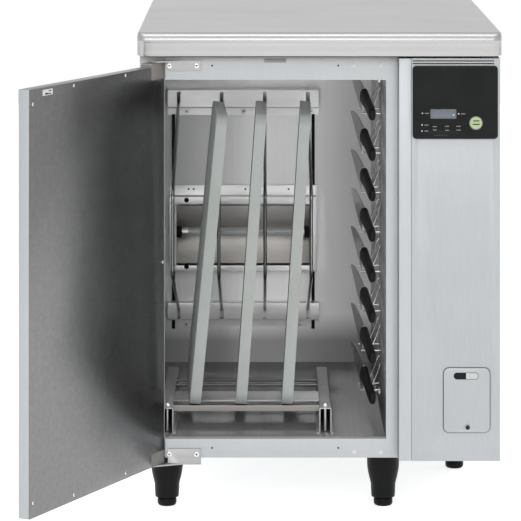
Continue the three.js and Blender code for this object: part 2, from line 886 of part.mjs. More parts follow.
function lampFrame () {
  const wallY = chamberBack - seat - rackSheet * 2 - seat
  const high = lampFrameLow + lampFrameHeight
  const outer = lampFrameHalf
  const inner = lampFrameHalf - lampFrameSide
  const ring = roundedRect(lampMiddle - outer, lampMiddle + outer, lampFrameLow, high, lampFrameCorner)
  ring.holes.push(roundedRect(lampMiddle - inner, lampMiddle + inner, lampFrameLow + lampFrameBottom,
    high - lampFrameTop, lampFrameCorner, new THREE.Path()))
  const plate = block(lampMiddle - outer, lampMiddle + outer, wallY - lampPlateSheet, wallY,
    lampFrameLow, high + lampPlateRise)
  return join(alongY(ring, wallY - lampFrameDepth, wallY), plate)
}

const lampEnd = side => lampMiddle + side * lampSpan / 2

function uvLamp () {
  const tube = cylinder(lampRadius, lampSpan).rotateZ(Math.PI / 2).translate(lampMiddle, lampY, lampZ)
  const pins = [-1, 1].flatMap(side => [-1, 1].map(up => {
    return cylinder(lampPinRadius, lampPinLength + overrun, hookWireSides).rotateZ(Math.PI / 2)
      .translate(lampEnd(side) + side * (lampPinLength - overrun) / 2, lampY, lampZ + up * lampPinGap / 2)
  }))
  return join(tube, ...pins)
}

function lampSocket (side) {
  const inner = lampEnd(side) - side * socketWell
  const outer = inner + side * socketWidth
  const holder = block(Math.min(inner, outer), Math.max(inner, outer),
    lampY - socketDepth / 2, lampY + socketDepth / 2, lampZ - socketHeight / 2, lampZ + socketHeight / 2)
  const well = cylinder(lampRadius + seat, socketWell * 2 + seat * 2).rotateZ(Math.PI / 2)
    .translate(inner, lampY, lampZ)
  const pinHoles = [-1, 1].map(up => {
    return cylinder(lampPinRadius + seat, (lampPinLength + seat) * 2, hookWireSides).rotateZ(Math.PI / 2)
      .translate(lampEnd(side), lampY, lampZ + up * lampPinGap / 2)
  })
  return cut(holder, well, ...pinHoles)
}

function lampReflector () {
  const frontY = chamberBack - lampFrameDepth + reflectorFromWall
  const deepY = chamberBack - seat - reflectorFromWall
  const low = lampFrameLow + lampFrameBottom + lampFrameCorner + reflectorSheet
  const high = lampFrameLow + lampFrameHeight - lampFrameTop - lampFrameCorner - reflectorSheet
  const section = folded([
    [frontY, low],
    [deepY, lampZ - reflectorFlat / 2],
    [deepY, lampZ + reflectorFlat / 2],
    [frontY, high]
  ], reflectorSheet)
  const side = lampFrameHalf - lampFrameSide - seat
  return alongX(section, lampMiddle - side, lampMiddle + side)
}

// Board rack on the chamber's floor: two channels with cross bars, a plate, rods and a knob at each front end

const channelFront = frameY + channelFromFrame
const channelTop = chamberFloor + seat + channelHeight

function boardRack () {
  const channel = x => {
    const floor = chamberFloor + seat
    const section = folded([
      [x - channelFoot, floor + channelSheet], [x, floor + channelSheet], [x, channelTop],
      [x + channelWidth, channelTop], [x + channelWidth, floor + channelSheet],
      [x + channelWidth + channelFoot, floor + channelSheet]
    ], -channelSheet)
    return alongY(section, channelFront, channelFront + channelLength)
  }
  const leftX = rackLeft + bracketLeftGap
  const rightX = rackRight - channelWidth / 2
  const inner0 = leftX + channelWidth - channelSheet / 2
  const inner1 = rightX + channelSheet / 2
  const barY = channelFront + rackBarBack
  const bar = alongX(folded([
    [barY, channelTop - rackBarHeight], [barY, channelTop], [barY + rackBarDepth, channelTop],
    [barY + rackBarDepth, channelTop - rackBarHeight]
  ], -channelSheet), inner0, inner1)
  const plateY = channelFront + rackPlateFront
  const plateTop = channelTop - rackPlateDrop
  const plate = block(inner0, inner1, plateY, plateY + rackPlateDepth, plateTop - channelSheet, plateTop)
  const rods = Array.from({ length: rodCount }, (_, i) => {
    return cylinder(rodRadius, inner1 - inner0, wireSides).rotateZ(Math.PI / 2)
      .translate((inner0 + inner1) / 2, channelFront + rodFromFront + i * rodPitch, channelTop - rodDrop)
  })
  const knobs = [leftX, rightX].flatMap(x => {
    const middle = x + channelWidth / 2
    const y = channelFront + knobFromFront
    const head = new THREE.SphereGeometry(knobRadius, roundSides / 2, roundSides / 4)
      .rotateX(Math.PI / 2).translate(middle, y, channelTop + knobHeight)
    const stemLow = chamberFloor + seat * 2
    const stemHigh = channelTop + knobHeight
    const stem = cylinder(knobStem, stemHigh - stemLow, wireSides).rotateX(Math.PI / 2)
      .translate(middle, y, (stemLow + stemHigh) / 2)
    return [head, stem]
  })
  return join(channel(leftX), channel(rightX), bar, plate, ...rods, ...knobs)
}

// Cutting boards stand on the rack and lean to the right

function cuttingBoard () {
  const boardHeight = chamberTop - boardHeadroom - channelTop - seat
  const outline = roundedRect(0, boardDepth, 0, boardHeight, boardCorner)
  return alongX(outline, 0, boardThickness, boardCornerSteps)
}

function addBoards () {
  for (let i = 0; i < bowCount - 1; i++) {
    const lean = (boardLeans[i] ?? boardLeans[boardLeans.length - 1]) * rad
    const yaw = (boardYaws[i] ?? 0) * rad
    const board = add(`board_${i + 1}`, cuttingBoard(), boardPlastic)
    board.position.set(chamberLeft + boardFirstFoot + boardPitch * i, frameY + boardFromFrame,
      channelTop + seat + boardThickness * Math.sin(lean))
    board.rotation.set(0, lean, yaw, 'ZYX')
  }
}

// Knives: a ground blade, a bolster and a rounded handle, edge down, with the butt at the origin

function knife () {
  const handleRings = Array.from({ length: knifeStations }, (_, i) => {
    const share = i / (knifeStations - 1)
    const y = share * handleLength
    const belly = 1 - handleWaistShare * Math.sin(Math.PI * share) - buttTaperShare * (1 - share) ** 6
    const centre = -handleButtDrop * (1 - share) ** 2
    return Array.from({ length: handleSides }, (_, n) => {
      const angle = -(n + 0.5) * 2 * Math.PI / handleSides
      return point(Math.cos(angle) * handleThickness / 2 * belly, y,
        centre + Math.sin(angle) * handleHeight / 2 * belly)
    })
  })
  const spineZ = handleHeight / 2 - bladeSpineDrop
  const halfWidth = z => (bladeEdge + (bladeSpine - bladeEdge) * (z - spineZ + bladeHeight) / bladeHeight) / 2
  const bladeRings = Array.from({ length: knifeStations }, (_, i) => {
    const share = i / (knifeStations - 1)
    const y = handleLength + bolsterLength / 2 + share * bladeLength
    const top = spineZ - bladeHeight * tipDropShare * share ** 4
    const bottom = spineZ - bladeHeight + bladeHeight * tipRiseShare * share ** 1.3
    const low = Math.min(bottom, top - bladeEdge)
    const spine = halfWidth(top)
    const edge = halfWidth(low)
    return [point(spine, y, top), point(edge, y, low), point(-edge, y, low), point(-spine, y, top)]
  })
  const bolster = block(-bolsterThickness / 2, bolsterThickness / 2, handleLength - bolsterLength / 2,
    handleLength + bolsterLength, spineZ + bolsterRise - bolsterHeight, spineZ + bolsterRise)
  return join(loft(handleRings), loft(bladeRings), bolster)
}

const knifeX = chamberRight - knifeFromWall
const knifeY = frameY + knifeFromFrame
const knifeZ = i => chamberTop - knifeTopDrop - i * knifePitch

function addKnives () {
  for (let i = 0; i < knifeCount; i++) {
    const blade = add(`knife_${i + 1}`, knife(), knifeBlack)
    blade.position.set(knifeX, knifeY, knifeZ(i))
    blade.rotation.set(knifePitchUp * rad, knifeRoll * rad, knifeYaw * rad, 'ZXY')
  }
}

// Knife rack: two strips on the right wall with a bent wire hook for each knife at each strip

function knifeRack () {
  const wallX = chamberRight - seat
  const stations = [hookFromFrame, hookFromFrame + hookSpacing]
  const rise = (station, i) => knifeZ(i) + Math.tan(knifePitchUp * rad) * (station - knifeFromFrame)
  const strips = stations.map(station => {
    const y = frameY + station
    return block(wallX - stripThickness, wallX, y - stripWidth / 2, y + stripWidth / 2,
      rise(station, knifeCount - 1) - hookDrop - stripMargin, rise(station, 0) + hookRise + stripMargin)
  })
  const hooks = stations.flatMap(station => Array.from({ length: knifeCount }, (_, i) => {
    const y = frameY + station
    const z = rise(station, i)
    const rootX = wallX - stripThickness / 2
    const bladeX = knifeX - Math.tan(knifeYaw * rad) * (station - knifeFromFrame)
    const arm = wire([
      point(rootX, y, z + hookRise),
      point(bladeX + hookTopReach, y, z + hookRise),
      point(bladeX + hookLowReach, y, z - hookDrop)
    ], hookWireRadius, hookBend, hookWireSides)
    const shelf = wire([point(rootX, y, z - hookDrop), point(bladeX - hookEnd, y, z - hookDrop)],
      hookWireRadius, hookBend, hookWireSides)
    return [arm, shelf]
  }).flat())
  const low = rise(stations[1], knifeCount - 1) - hookDrop - hookThroat
  const high = rise(stations[0], 0) + hookRise + hookThroat
  const tieY = frameY + (stations[0] + stations[1]) / 2
  const ties = [low, high].map(z => {
    return cylinder(tieRadius, stations[1] - stations[0], wireSides)
      .translate(wallX - tieRadius - seat, tieY, z)
  })
  return join(strips[0], strips[1], ...hooks, ...ties)
}

// Door, drawn closed about its pivot and then turned open

const door = new THREE.Group()
door.position.set(pivotX, pivotY, 0)
door.rotation.z = -doorOpenAngle * rad
cabinet.add(door)

const doorLeftX = left - pivotX
const doorRightX = doorRight - pivotX
const doorFrontY = -doorThickness / 2
const doorBackY = doorThickness / 2
const gripX1 = doorRightX - gripFromEdge
const gripX0 = gripX1 - gripWidth

// What the two hinge caps take out of the door's corners.
const capNotches = grow => [
  block(doorLeftX - overrun, doorLeftX + capWidth + grow, doorFrontY - overrun, doorBackY + overrun,
    doorTop - capHeight - grow, doorTop + overrun),
  block(doorLeftX - overrun, doorLeftX + capWidth + grow, doorFrontY - overrun, doorBackY + overrun,
    doorBottom - overrun, doorBottom + capHeight + grow)
]

const gripHole = (grow, y0, y1) => alongY(roundedRect(gripX0 - grow, gripX1 + grow, gripBottom - grow,
  gripBottom + gripHeight + grow, gripCorner + grow), y0, y1)

function doorSkin () {
  const pan = cut(
    block(doorLeftX, doorRightX, doorFrontY, doorBackY - doorSheet - seat, doorBottom, doorTop),
    block(doorLeftX + doorSheet, doorRightX - doorSheet, doorFrontY + doorSheet, doorBackY + overrun,
      doorBottom + doorSheet, doorTop - doorSheet)
  )
  return cut(pan, ...capNotches(seat), gripHole(seat, doorFrontY - overrun, doorFrontY + doorSheet + overrun))
}

const doorLiner = () => cut(
  block(doorLeftX, doorRightX, doorBackY - doorSheet, doorBackY, doorBottom, doorTop),
  ...capNotches(seat)
)

function doorCore () {
  const inset = doorSheet + seat
  const filling = block(doorLeftX + inset, doorRightX - inset, doorFrontY + inset, doorBackY - inset - seat,
    doorBottom + inset, doorTop - inset)
  return cut(filling, ...capNotches(seat * 2),
    gripHole(gripWall + seat * 2, doorFrontY - overrun, doorFrontY + gripDepth + gripWall + seat))
}

function doorGrip () {
  const cup = gripHole(gripWall, doorFrontY + doorSheet + seat, doorFrontY + gripDepth + gripWall)
  const mouth = gripHole(0, doorFrontY, doorFrontY + doorSheet + seat * 2)
  return cut(join(cup, mouth), gripHole(-gripWall, doorFrontY - overrun, doorFrontY + gripDepth))
}

function doorCap (side) {
  const z0 = side > 0 ? doorTop - capHeight : doorBottom
  const z1 = side > 0 ? doorTop + capRise : doorBottom + capHeight
  const mouth = side > 0 ? z1 : z0
  const body = alongY(roundedRect(doorLeftX, doorLeftX + capWidth, z0, z1, capCorner), doorFrontY, doorBackY)
  const bore = cylinder(pinRadius + seat, (pinLength + seat) * 2).rotateX(Math.PI / 2).translate(0, 0, mouth)
  return cut(body, bore)
}

// Hinge brackets, each with its pin: a plate on the rail and an arm that carries the pin
function hingeBracket (side) {
  const plateY1 = frameY - seat
  const plateY0 = plateY1 - bracketSheet
  const x0 = pivotX + bracketFromPivot
  const x1 = x0 + bracketWidth
  const armZ = side > 0 ? doorTop + capRise + seat : doorBottom - seat
  const plateZ = side > 0 ? armZ : bodyBottom + bracketHeight
  const plate = block(x0, x1, plateY0, plateY1, side > 0 ? plateZ - bracketHeight : armZ - bracketSheet,
    side > 0 ? armZ + bracketSheet : plateZ)
  const armShape = new THREE.Shape()
  armShape.moveTo(x0 + bracketArmRoot, plateY1)
  armShape.lineTo(x0, plateY1)
  armShape.lineTo(pivotX - pinRadius * 2, pivotY)
  armShape.absarc(pivotX, pivotY, pinRadius * 2, Math.PI, Math.PI * 1.7)
  const armEnd = armZ + side * bracketSheet
  const arm = alongZ(armShape, Math.min(armZ, armEnd), Math.max(armZ, armEnd))
  const pin = cylinder(pinRadius, pinLength + bracketSheet / 2).rotateX(Math.PI / 2)
    .translate(pivotX, pivotY, armZ - side * (pinLength - bracketSheet / 2) / 2)
  return join(plate, arm, pin)
}

// The door switch sits in the top rail with its nose through the frame's face.
function doorSwitch () {
  const middle = left + leftPost + (chamberRight - left - leftPost) / 2
  const half = doorSwitchLength / 2
  return block(middle - half, middle + half, frameY - seat - doorSwitchProud, frameY - seat,
    bodyTop - doorSwitchDrop - doorSwitchHeight, bodyTop - doorSwitchDrop)
}

// Legs and their screwed adjusters

function leg () {
  const profile = [
    [0, adjusterBoreTop],
    [adjusterStemRadius + seat, adjusterBoreTop],
    [adjusterStemRadius + seat, legSoleHeight],
    [legSoleRadius, legSoleHeight],
    [legWaistRadius, legWaistHeight],
    [legRadius, legShoulderHeight],
    [legRadius, bodyBottom - seat],
    [0, bodyBottom - seat]
  ].map(([r, z]) => new THREE.Vector2(r, z))
  return new THREE.LatheGeometry(profile, roundSides).rotateX(Math.PI / 2)
}

function adjuster () {
  const top = legSoleHeight - seat
  const profile = [
    [0, 0],
    [adjusterSoleRadius, 0],
    [adjusterRadius, adjusterChamfer],
    [adjusterRadius, top - adjusterChamfer / 2],
    [adjusterSoleRadius, top],
    [adjusterStemRadius, top],
    [adjusterStemRadius, adjusterStemTop],
    [0, adjusterStemTop]
  ].map(([r, z]) => new THREE.Vector2(r, z))
  return new THREE.LatheGeometry(profile, roundSides).rotateX(Math.PI / 2)
}

const legPlaces = [
  [legX[0], legFrontY],
  [legX[1], legFrontY],
  [legX[0], legRearY],
  [legX[1], legRearY],
  [right - machineLegInset, machineLegY]
]

add('worktop', worktop(), stainless)
add('worktop_core', worktopCore(), timber)
add('outer_casing', outerCasing(), greySteel)
add('insulation', insulation(), foam)
add('inner_liner', innerLiner(), brushed)
add('front_frame', frontFrame(), greySteel)
add('machine_casing', machineCasing(), greySteel)
add('pillar', pillar(), greySteel)
add('front_panel', frontPanel(), greySteel)
add('control_panel', controlPanel(), panelBlack)
add('display', display(), liquidCrystal)
for (let i = 0; i < keyCount; i++) add(`key_${i + 1}`, key(i), keyPlastic)
add('start_button', startButton(), greenPlastic)
add('control_board', controlBoard(), circuitGreen)
add('power_cover', powerCover(), greySteel)
add('switch_box', switchBox(), greyPlastic)
add('power_switch', powerSwitch(), blackPlastic)
add('fan_housing', fanHousing(), greyPlastic)
add('fan_wheel', fanWheel(), blackPlastic)
add('lamp_ballast', lampBallast(), greyPlastic)
add('divider_rack', dividerRack(), polished)
add('lamp_frame', lampFrame(), brushed)
add('uv_lamp', uvLamp(), clearGlass)
add('lamp_socket_left', lampSocket(-1), blackPlastic)
add('lamp_socket_right', lampSocket(1), blackPlastic)
add('lamp_reflector', lampReflector(), polished)
add('board_rack', boardRack(), polished)
add('knife_rack', knifeRack(), polished)
add('hinge_bracket_top', hingeBracket(1), stainless)
add('hinge_bracket_bottom', hingeBracket(-1), stainless)
add('door_switch', doorSwitch(), greyPlastic)
add('door_skin', doorSkin(), greySteel, door)
add('door_liner', doorLiner(), brushed, door)
add('door_core', doorCore(), foam, door)
add('door_grip', doorGrip(), greyPlastic, door)
add('door_cap_top', doorCap(1), greyPlastic, door)
add('door_cap_bottom', doorCap(-1), greyPlastic, door)
legPlaces.forEach(([x, y], i) => {
  add(`leg_${i + 1}`, leg(), blackPlastic).position.set(x, y, 0)
  add(`adjuster_${i + 1}`, adjuster(), blackPlastic).position.set(x, y, 0)
})
addBoards()
addKnives()

// The origin is the middle of the front left adjuster's sole.
cabinet.position.set(-legX[0], -legFrontY, 0)

const model = new THREE.Group()
model.add(cabinet)

export default model
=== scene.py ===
"""Looks of a knife sterilizer cabinet, made round its frame. Metres, +Z up, the front faces -Y.

Tables of places on a face are pairs of x and z, and a stroke is its two ends in x and its z. Those on the
door are places on a shut door, measured from its hinge line.
"""
import json
import math

import bmesh
import bpy
from mathutils import Matrix, Vector

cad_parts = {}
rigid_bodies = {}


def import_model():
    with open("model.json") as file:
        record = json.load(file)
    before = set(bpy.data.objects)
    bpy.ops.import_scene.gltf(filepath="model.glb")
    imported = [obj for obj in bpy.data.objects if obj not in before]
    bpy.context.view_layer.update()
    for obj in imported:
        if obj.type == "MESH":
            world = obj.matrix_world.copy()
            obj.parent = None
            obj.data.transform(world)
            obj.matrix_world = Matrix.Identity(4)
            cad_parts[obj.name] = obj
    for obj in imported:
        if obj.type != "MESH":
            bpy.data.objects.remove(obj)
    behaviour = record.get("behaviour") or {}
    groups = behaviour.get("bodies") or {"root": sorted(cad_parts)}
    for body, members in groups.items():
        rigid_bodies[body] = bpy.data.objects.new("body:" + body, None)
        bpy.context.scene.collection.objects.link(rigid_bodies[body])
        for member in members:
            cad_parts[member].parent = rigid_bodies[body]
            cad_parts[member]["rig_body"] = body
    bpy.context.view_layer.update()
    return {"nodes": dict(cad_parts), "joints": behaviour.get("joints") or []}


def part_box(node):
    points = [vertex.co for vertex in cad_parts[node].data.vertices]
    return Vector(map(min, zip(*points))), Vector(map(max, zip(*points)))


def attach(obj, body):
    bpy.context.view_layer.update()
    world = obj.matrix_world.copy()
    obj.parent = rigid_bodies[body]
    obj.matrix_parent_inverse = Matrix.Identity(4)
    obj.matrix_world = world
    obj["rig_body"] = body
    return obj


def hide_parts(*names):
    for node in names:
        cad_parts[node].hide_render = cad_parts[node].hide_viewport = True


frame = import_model()

# Camera, from the photograph's vanishing lines
PHOTO_SIDE = 521
FOCAL_PIXELS = 3000
SENSOR = 36
CAMERA_PLACE = (0.157, -5.04, 1.238)
HORIZON_ROW = -232.4

# Sheet metal
SHEET = 0.0012
PROUD = 0.0002
WELD = 0.00002
UPWARD = 0.9

# Rounded edges
SHEET_EDGE = 0.0006
FINE_EDGE = 0.0003
PLATE_EDGE = 0.0004
FITTING_EDGE = 0.0005
PANEL_EDGE = 0.0008
MOULDED_EDGE = 0.0010
CAP_EDGE = 0.0015
BOARD_EDGE = 0.003
EDGE_STEPS = 2
BOARD_EDGE_STEPS = 4
BEVEL_ANGLE = math.radians(40)

# Angles up to which neighbouring faces shade as one
LOFT_ANGLE = math.radians(32)
EDGED_ANGLE = math.radians(50)
WIRE_ANGLE = math.radians(60)
BLADE_ANGLE = math.radians(20)

# How finely round shapes are cut
ROUND_SIDES = 48
CORNER_STEPS = 6
CAPSULE_STEPS = 8
BEND_STEPS = 4
WIRE_SIDES = 16
WIRE_BEND_STEPS = 6

# Worktop
TOP_EDGE = 0.014
TOP_SIDE_EDGE = 0.0025
TOP_NOSE = 0.0152
TOP_RECESS = 0.0016
TOP_CORNER = 0.016
CORE_INSET = 0.006
CORE_RAISED = 0.005
TOP_SHEET = 0.0015
TOP_LIP = 0.0015
TOP_STEPS = 6
TOP_TUCKS = ((0.7, 0.5), (0.2, 0))

# Divider rack
RACK_SHEET = 0.0015
RACK_STAND = 0.0257
RACK_BEND = 0.0022
RACK_FOOT = 0.015
RACK_STAY = 0.006
UPPER_BRACKET_TOP = 0.638
UPPER_BRACKET_FRONT = 0.0355
LOWER_BRACKET_TOP = 0.240
LOWER_BRACKET_FRONT = 0.033
STAY_TAIL = 0.020
FOOT_SCREWS = [(0.0189, 0.594), (0.125, 0.594), (0.251, 0.594), (0.0187, 0.1955), (0.2314, 0.1955)]
BOW_WIRE = 0.003
BOW_BEND = 0.022
BOW_MARGIN = 0.0202
BOW_PLACES = (0.0042, 0.0846, 0.165, 0.2454)
BOW_TOP = 0.613
BOW_SHOULDER = 0.4987
BOW_KNEE = 0.3504
BOW_FOOT = 0.228
SLOT_WIDTH = 0.007
SLOT_LENGTH = 0.020

# Lamp unit
LAMP_PIN = 0.007
LAMP_PIN_RADIUS = 0.0012
LAMP_PIN_GAP = 0.00635
LAMP_CAP = 0.013
LAMP_SCREW = 0.0045
LAMP_SCREW_RISE = 0.0022
LAMP_SCREWS = [(0.0193, 0.433), (0.0193, 0.3092)]
LAMP_PLATE_SHEET = 0.0012
LAMP_PLATE_SCREWS = [(0.0223, 0.4488), (0.0319, 0.4488), (0.1285, 0.4488), (0.2096, 0.4488)]
LAMP_PLATE_SCREW = 0.0018
LAMP_PLATE_RISE = 0.0006

# Board rack
RACK_CHANNELS = (-0.009, 0.2556)
RACK_CHANNEL_TOP = 0.1673
RACK_CHANNEL_WIDTH = 0.020
RACK_CHANNEL_LENGTH = 0.345
RACK_CHANNEL_FOOT = 0.004
RACK_BAR_BACK = 0.024
RACK_BAR_HEIGHT = 0.010
RACK_BAR_DEPTH = 0.012
RACK_PLATE_FRONT = 0.064
RACK_PLATE_DEPTH = 0.077
RACK_PLATE_DROP = 0.001
RACK_RODS = (0.208, 0.248)
ROD = 0.003
ROD_DROP = 0.004
KNOB_FRONT = 0.016
KNOB_RADIUS = 0.0055
KNOB_RISE = 0.001
KNOB_STEM = 0.0022
KNOB_STEPS = 12
KNOB_SIDES = 32

# Knives and their rack
KNIFE_COUNT = 8
KNIFE_FIRST = Vector((0.3445, -0.040, 0.661))
KNIFE_PITCH = 0.0676
KNIFE_YAW = math.radians(5.4)
KNIFE_RISE = math.radians(8.2)
KNIFE_ROLL = math.radians(3)
HANDLE_LENGTH = 0.118
HANDLE_HEIGHT = 0.027
HANDLE_THICKNESS = 0.015
HANDLE_WAIST_SHARE = 0.16
HANDLE_FIT_SHARE = 0.97
HANDLE_SHARES = (0, 0.012, 0.035, 0.08, 0.15, 0.25, 0.35, 0.45, 0.55, 0.65, 0.75, 0.85, 0.95, 1)
BUTT_CLOSING_SHARES = {0: 0.72, 0.012: 0.88, 0.035: 0.96}
BUTT_TAPER_SHARE = 0.25
BUTT_TAPER_POWER = 6
BUTT_DROP = 0.003
HANDLE_SIDES = 28
HANDLE_SQUARENESS = 2.6
SPINE_DROP = 0.002
BLADE_LENGTH = 0.168
BLADE_HEIGHT = 0.044
BLADE_SPINE = 0.002
BLADE_EDGE = 0.0004
BLADE_BEVEL = 0.005
BLADE_BEVEL_WIDTH = 0.0014
BLADE_STEPS = 24
TIP_DROP_SHARE = 0.3
TIP_DROP_POWER = 4
TIP_RISE_SHARE = 0.62
TIP_RISE_POWER = 1.3
BOLSTER_LENGTH = 0.009
BOLSTER_THICKNESS = 0.005
BOLSTER_HEIGHT = 0.020
BOLSTER_RISE = 0.0008
BOLSTER_EDGE = 0.0012
BOLSTER_EDGE_STEPS = 3
HOOK_STATIONS = (0.098, 0.131)
HOOK_WIRE = 0.0015
HOOK_BEND = 0.004
HOOK_RISE = 0.0115
HOOK_DROP = 0.0353
HOOK_TOP_REACH = 0.032
HOOK_LOW_REACH = 0.014
HOOK_END = 0.0025
HOOK_THROAT = 0.009
STRIP_WIDTH = 0.012
STRIP_SHEET = 0.002
STRIP_MARGIN = 0.012
TIE_RADIUS = 0.0025
TIE_GAP = 0.0003

# Door
DOOR_PIVOT = Vector((-0.021, -0.098, 0))
DOOR_HALF = 0.010
DOOR_SCREW = 0.0026
DOOR_SCREW_RISE = 0.0010
DOOR_SCREWS = [(0.3937, 0.7232), (0.2706, 0.7400), (0.1068, 0.7410), (-0.0184, 0.4214),
               (0.3937, 0.1136), (0.2706, 0.0996), (0.1068, 0.0994)]
DOOR_LABEL = (0.3353, 0.3654, 0.7331, 0.7422)
DOOR_LABEL_STROKES = [(0.3400, 0.3475, 0.7395), (0.3500, 0.3580, 0.7360), (0.3400, 0.3580, 0.7352)]

# Legs, as pairs of radius and height
LEG_BORE = 0.0063
LEG_CAP = 0.042
LEG_PROFILE = [(0.0184, 0.014), (0.0195, 0.0150), (0.0200, 0.018), (0.0209, 0.0376), (0.0223, 0.0427),
               (0.0240, 0.0494), (0.0257, 0.0578), (0.0266, 0.0645), (0.0270, 0.070), (0.0270, 0.096)]
FOOT_STEM = 0.006
FOOT_PROFILE = [(0.0118, 0), (0.0135, 0.0006), (0.0150, 0.0020), (0.0159, 0.0042), (0.0160, 0.0070),
                (0.0160, 0.0100), (0.0152, 0.0122), (0.0130, 0.0137)]

# Controls
BUTTON_RADIUS = 0.010
BUTTON_EDGE = 0.0012
BUTTON_FLANGE = 0.0048
BUTTON_DISH = 0.0004
BUTTON_RING = 0.0012
BUTTON_EDGE_STEPS = 5
DISH_SHARES = (0.6, 0.3)
PANEL_LIGHT = 0.0012
PANEL_LIGHTS = [(0.4230, 0.6700), (0.4826, 0.6691), (0.4224, 0.6509), (0.4222, 0.6409)]
PANEL_DOT = 0.0005
PANEL_DOTS = [(0.4436, 0.6340), (0.4475, 0.6340), (0.4514, 0.6340), (0.4554, 0.6340), (0.4593, 0.6340),
              (0.4633, 0.6340)]
STROKE = 0.0014
PANEL_STROKES = [(0.4270, 0.4340, 0.6700), (0.4864, 0.4935, 0.6691), (0.4263, 0.4329, 0.6507),
                 (0.4263, 0.4327, 0.6409)]
KEY_STROKES = [[(0.4401, 0.4465, 0.6484), (0.4401, 0.4465, 0.6427)],
               [(0.4604, 0.4666, 0.6489), (0.4604, 0.4666, 0.6422)],
               [(0.4787, 0.4860, 0.6489), (0.4787, 0.4860, 0.6424)]]
BUTTON_STROKES = [(0.5063, 0.5166, 0.6578), (0.5056, 0.5171, 0.6522)]
DISPLAY_SPOT = (0.4744, 0.6672)
DISPLAY_RIM = 0.0009
DISPLAY_CORNER = 0.0015
RIM_LINE_SHARE = 0.8
ROUND_SHARE = 0.999
COVER_PILL = (0.4751, 0.5146, 0.2331, 0.2430)
COVER_PILL_RIM = 0.0007
PILL_ROUND_SHARE = 0.99
COVER_NOTCH = (0.4976, 0.1534)
COVER_NOTCH_RADIUS = 0.0035

# Fasteners
SCREW_HEAD = 0.0042
SCREW_RISE = 0.0010
HEAD_SIDES = 24
HEAD_STEPS = 5
HEAD_RIM_SHARE = 0.3
RECESS_SHARE = 0.55
RECESS_ARM_SHARE = 0.12
RECESS_DEPTH_SHARE = 0.5
PIN_HOLE = 0.0016
BRACKET_SHEET = 0.0028
RAIL_TOP = 0.7457
RAIL_BOTTOM = 0.1041
RAIL_LOW_HOLE = 0.1141
RAIL_LOW_PLUG = 0.1069
RAIL_SCREWS = (0.0062, 0.0513)
RAIL_HOLES = (0.0770, 0.2855)
RAIL_PLUGS = (0.3114, 0.3557)
RAIL_PLUG = 0.0034
RAIL_PLUG_RISE = 0.0008

# Surface patterns, as repeats to a metre, and how deep they are
PEEL = 900
COAT_GRAIN = 700
COAT_CLOUD = 6
BRUSH_STREAK = 500
BRUSH_CLOUD = 5
POLISH_DRAW = 260
POLISH_CLOUD = 14
PLASTIC_SPARK = 1400
HANDLE_SPARK = 900
PLASTIC_FLOW = 25
BOARD_PEBBLE = 650
BOARD_CLOUD = 9
BOARD_CUT = 480
PLAIN_GRAIN = 300
FOAM_CELL = 420
TIMBER_RING = 120
GLASS_HAZE = 200
BLADE_GRIND = 900
GRAIN_DEPTH = 0.0002
FOAM_DEPTH = 0.0006
TIMBER_DEPTH = 0.0004

# How a pattern is drawn out along each axis
ALONG_X = (0.012, 1, 1)
ALONG_Y = (1, 0.012, 1)
ALONG_Z = (1, 1, 0.012)

# The liner's foot is painted shade, darker low in the chamber: the height of its darker part, the height
# where that has faded out, and its tone
LINER_PAINTED_SHADE = (0.165, 0.215, 0.30)

# Floor, world and lamps
FLOOR_LOW = (-6, -8, -0.02)
FLOOR_HIGH = (6, 6, 0)
FLOOR_TONE = 0.80
FLOOR_LIFT = 0.72
FLOOR_GLOSS = 0.80
WORLD_BACK = 0.85
WORLD_FRONT = 0.78
WORLD_TURN = (-0.05, 0.35)
LAMPS = {
    "key": {"place": (-1.6, -4.4, 2.6), "target": (0.1, 0.1, 0.4), "size": (2.4, 2.0), "watts": 12},
    "front": {"place": (0.3, -5.7, 2.7), "target": (0.15, 0.3, 0.5), "size": (4.0, 2.0), "watts": 80},
    "top": {"place": (0.15, -0.6, 3.4), "target": (0.15, -0.2, 0.8), "size": (3.0, 1.0), "watts": 30},
}


def span(node):
    """The two corners of a node's box."""
    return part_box(node)


# Shader maths

class Field:
    """A socket of a node tree, on which Python's operators add nodes."""

    def __init__(self, nodes, socket):
        self.nodes = nodes
        self.socket = socket

    def maths(self, operation, other, turned=False):
        ends = (other, self) if turned else (self, other)
        return self.nodes.node("ShaderNodeMath", {"operation": operation}, {0: ends[0], 1: ends[1]})

    def __add__(self, other):
        return self.maths("ADD", other)

    def __radd__(self, other):
        return self.maths("ADD", other)

    def __sub__(self, other):
        return self.maths("SUBTRACT", other)

    def __rsub__(self, other):
        return self.maths("SUBTRACT", other, turned=True)

    def __mul__(self, other):
        return self.maths("MULTIPLY", other)

    def __rmul__(self, other):
        return self.maths("MULTIPLY", other)

    def between(self, low, high):
        """From 0 at low to 1 at high, and no further."""
        ends = {"Value": self, "From Min": low, "From Max": high}
        return self.nodes.node("ShaderNodeMapRange", {"clamp": True}, ends)


class Nodes:
    """A node tree that is built from Python."""

    def __init__(self, tree):
        self.tree = tree
        self.tree.nodes.clear()

    def node(self, kind, settings=None, sockets=None, output=0):
        """Adds a node with its settings and sockets, and returns one of its outputs."""
        made = self.tree.nodes.new(kind)
        for name, value in (settings or {}).items():
            setattr(made, name, value)
        for name, value in (sockets or {}).items():
            if isinstance(value, Field):
                self.tree.links.new(value.socket, made.inputs[name])
            else:
                made.inputs[name].default_value = value
        return Field(self, made.outputs[output]) if len(made.outputs) else None


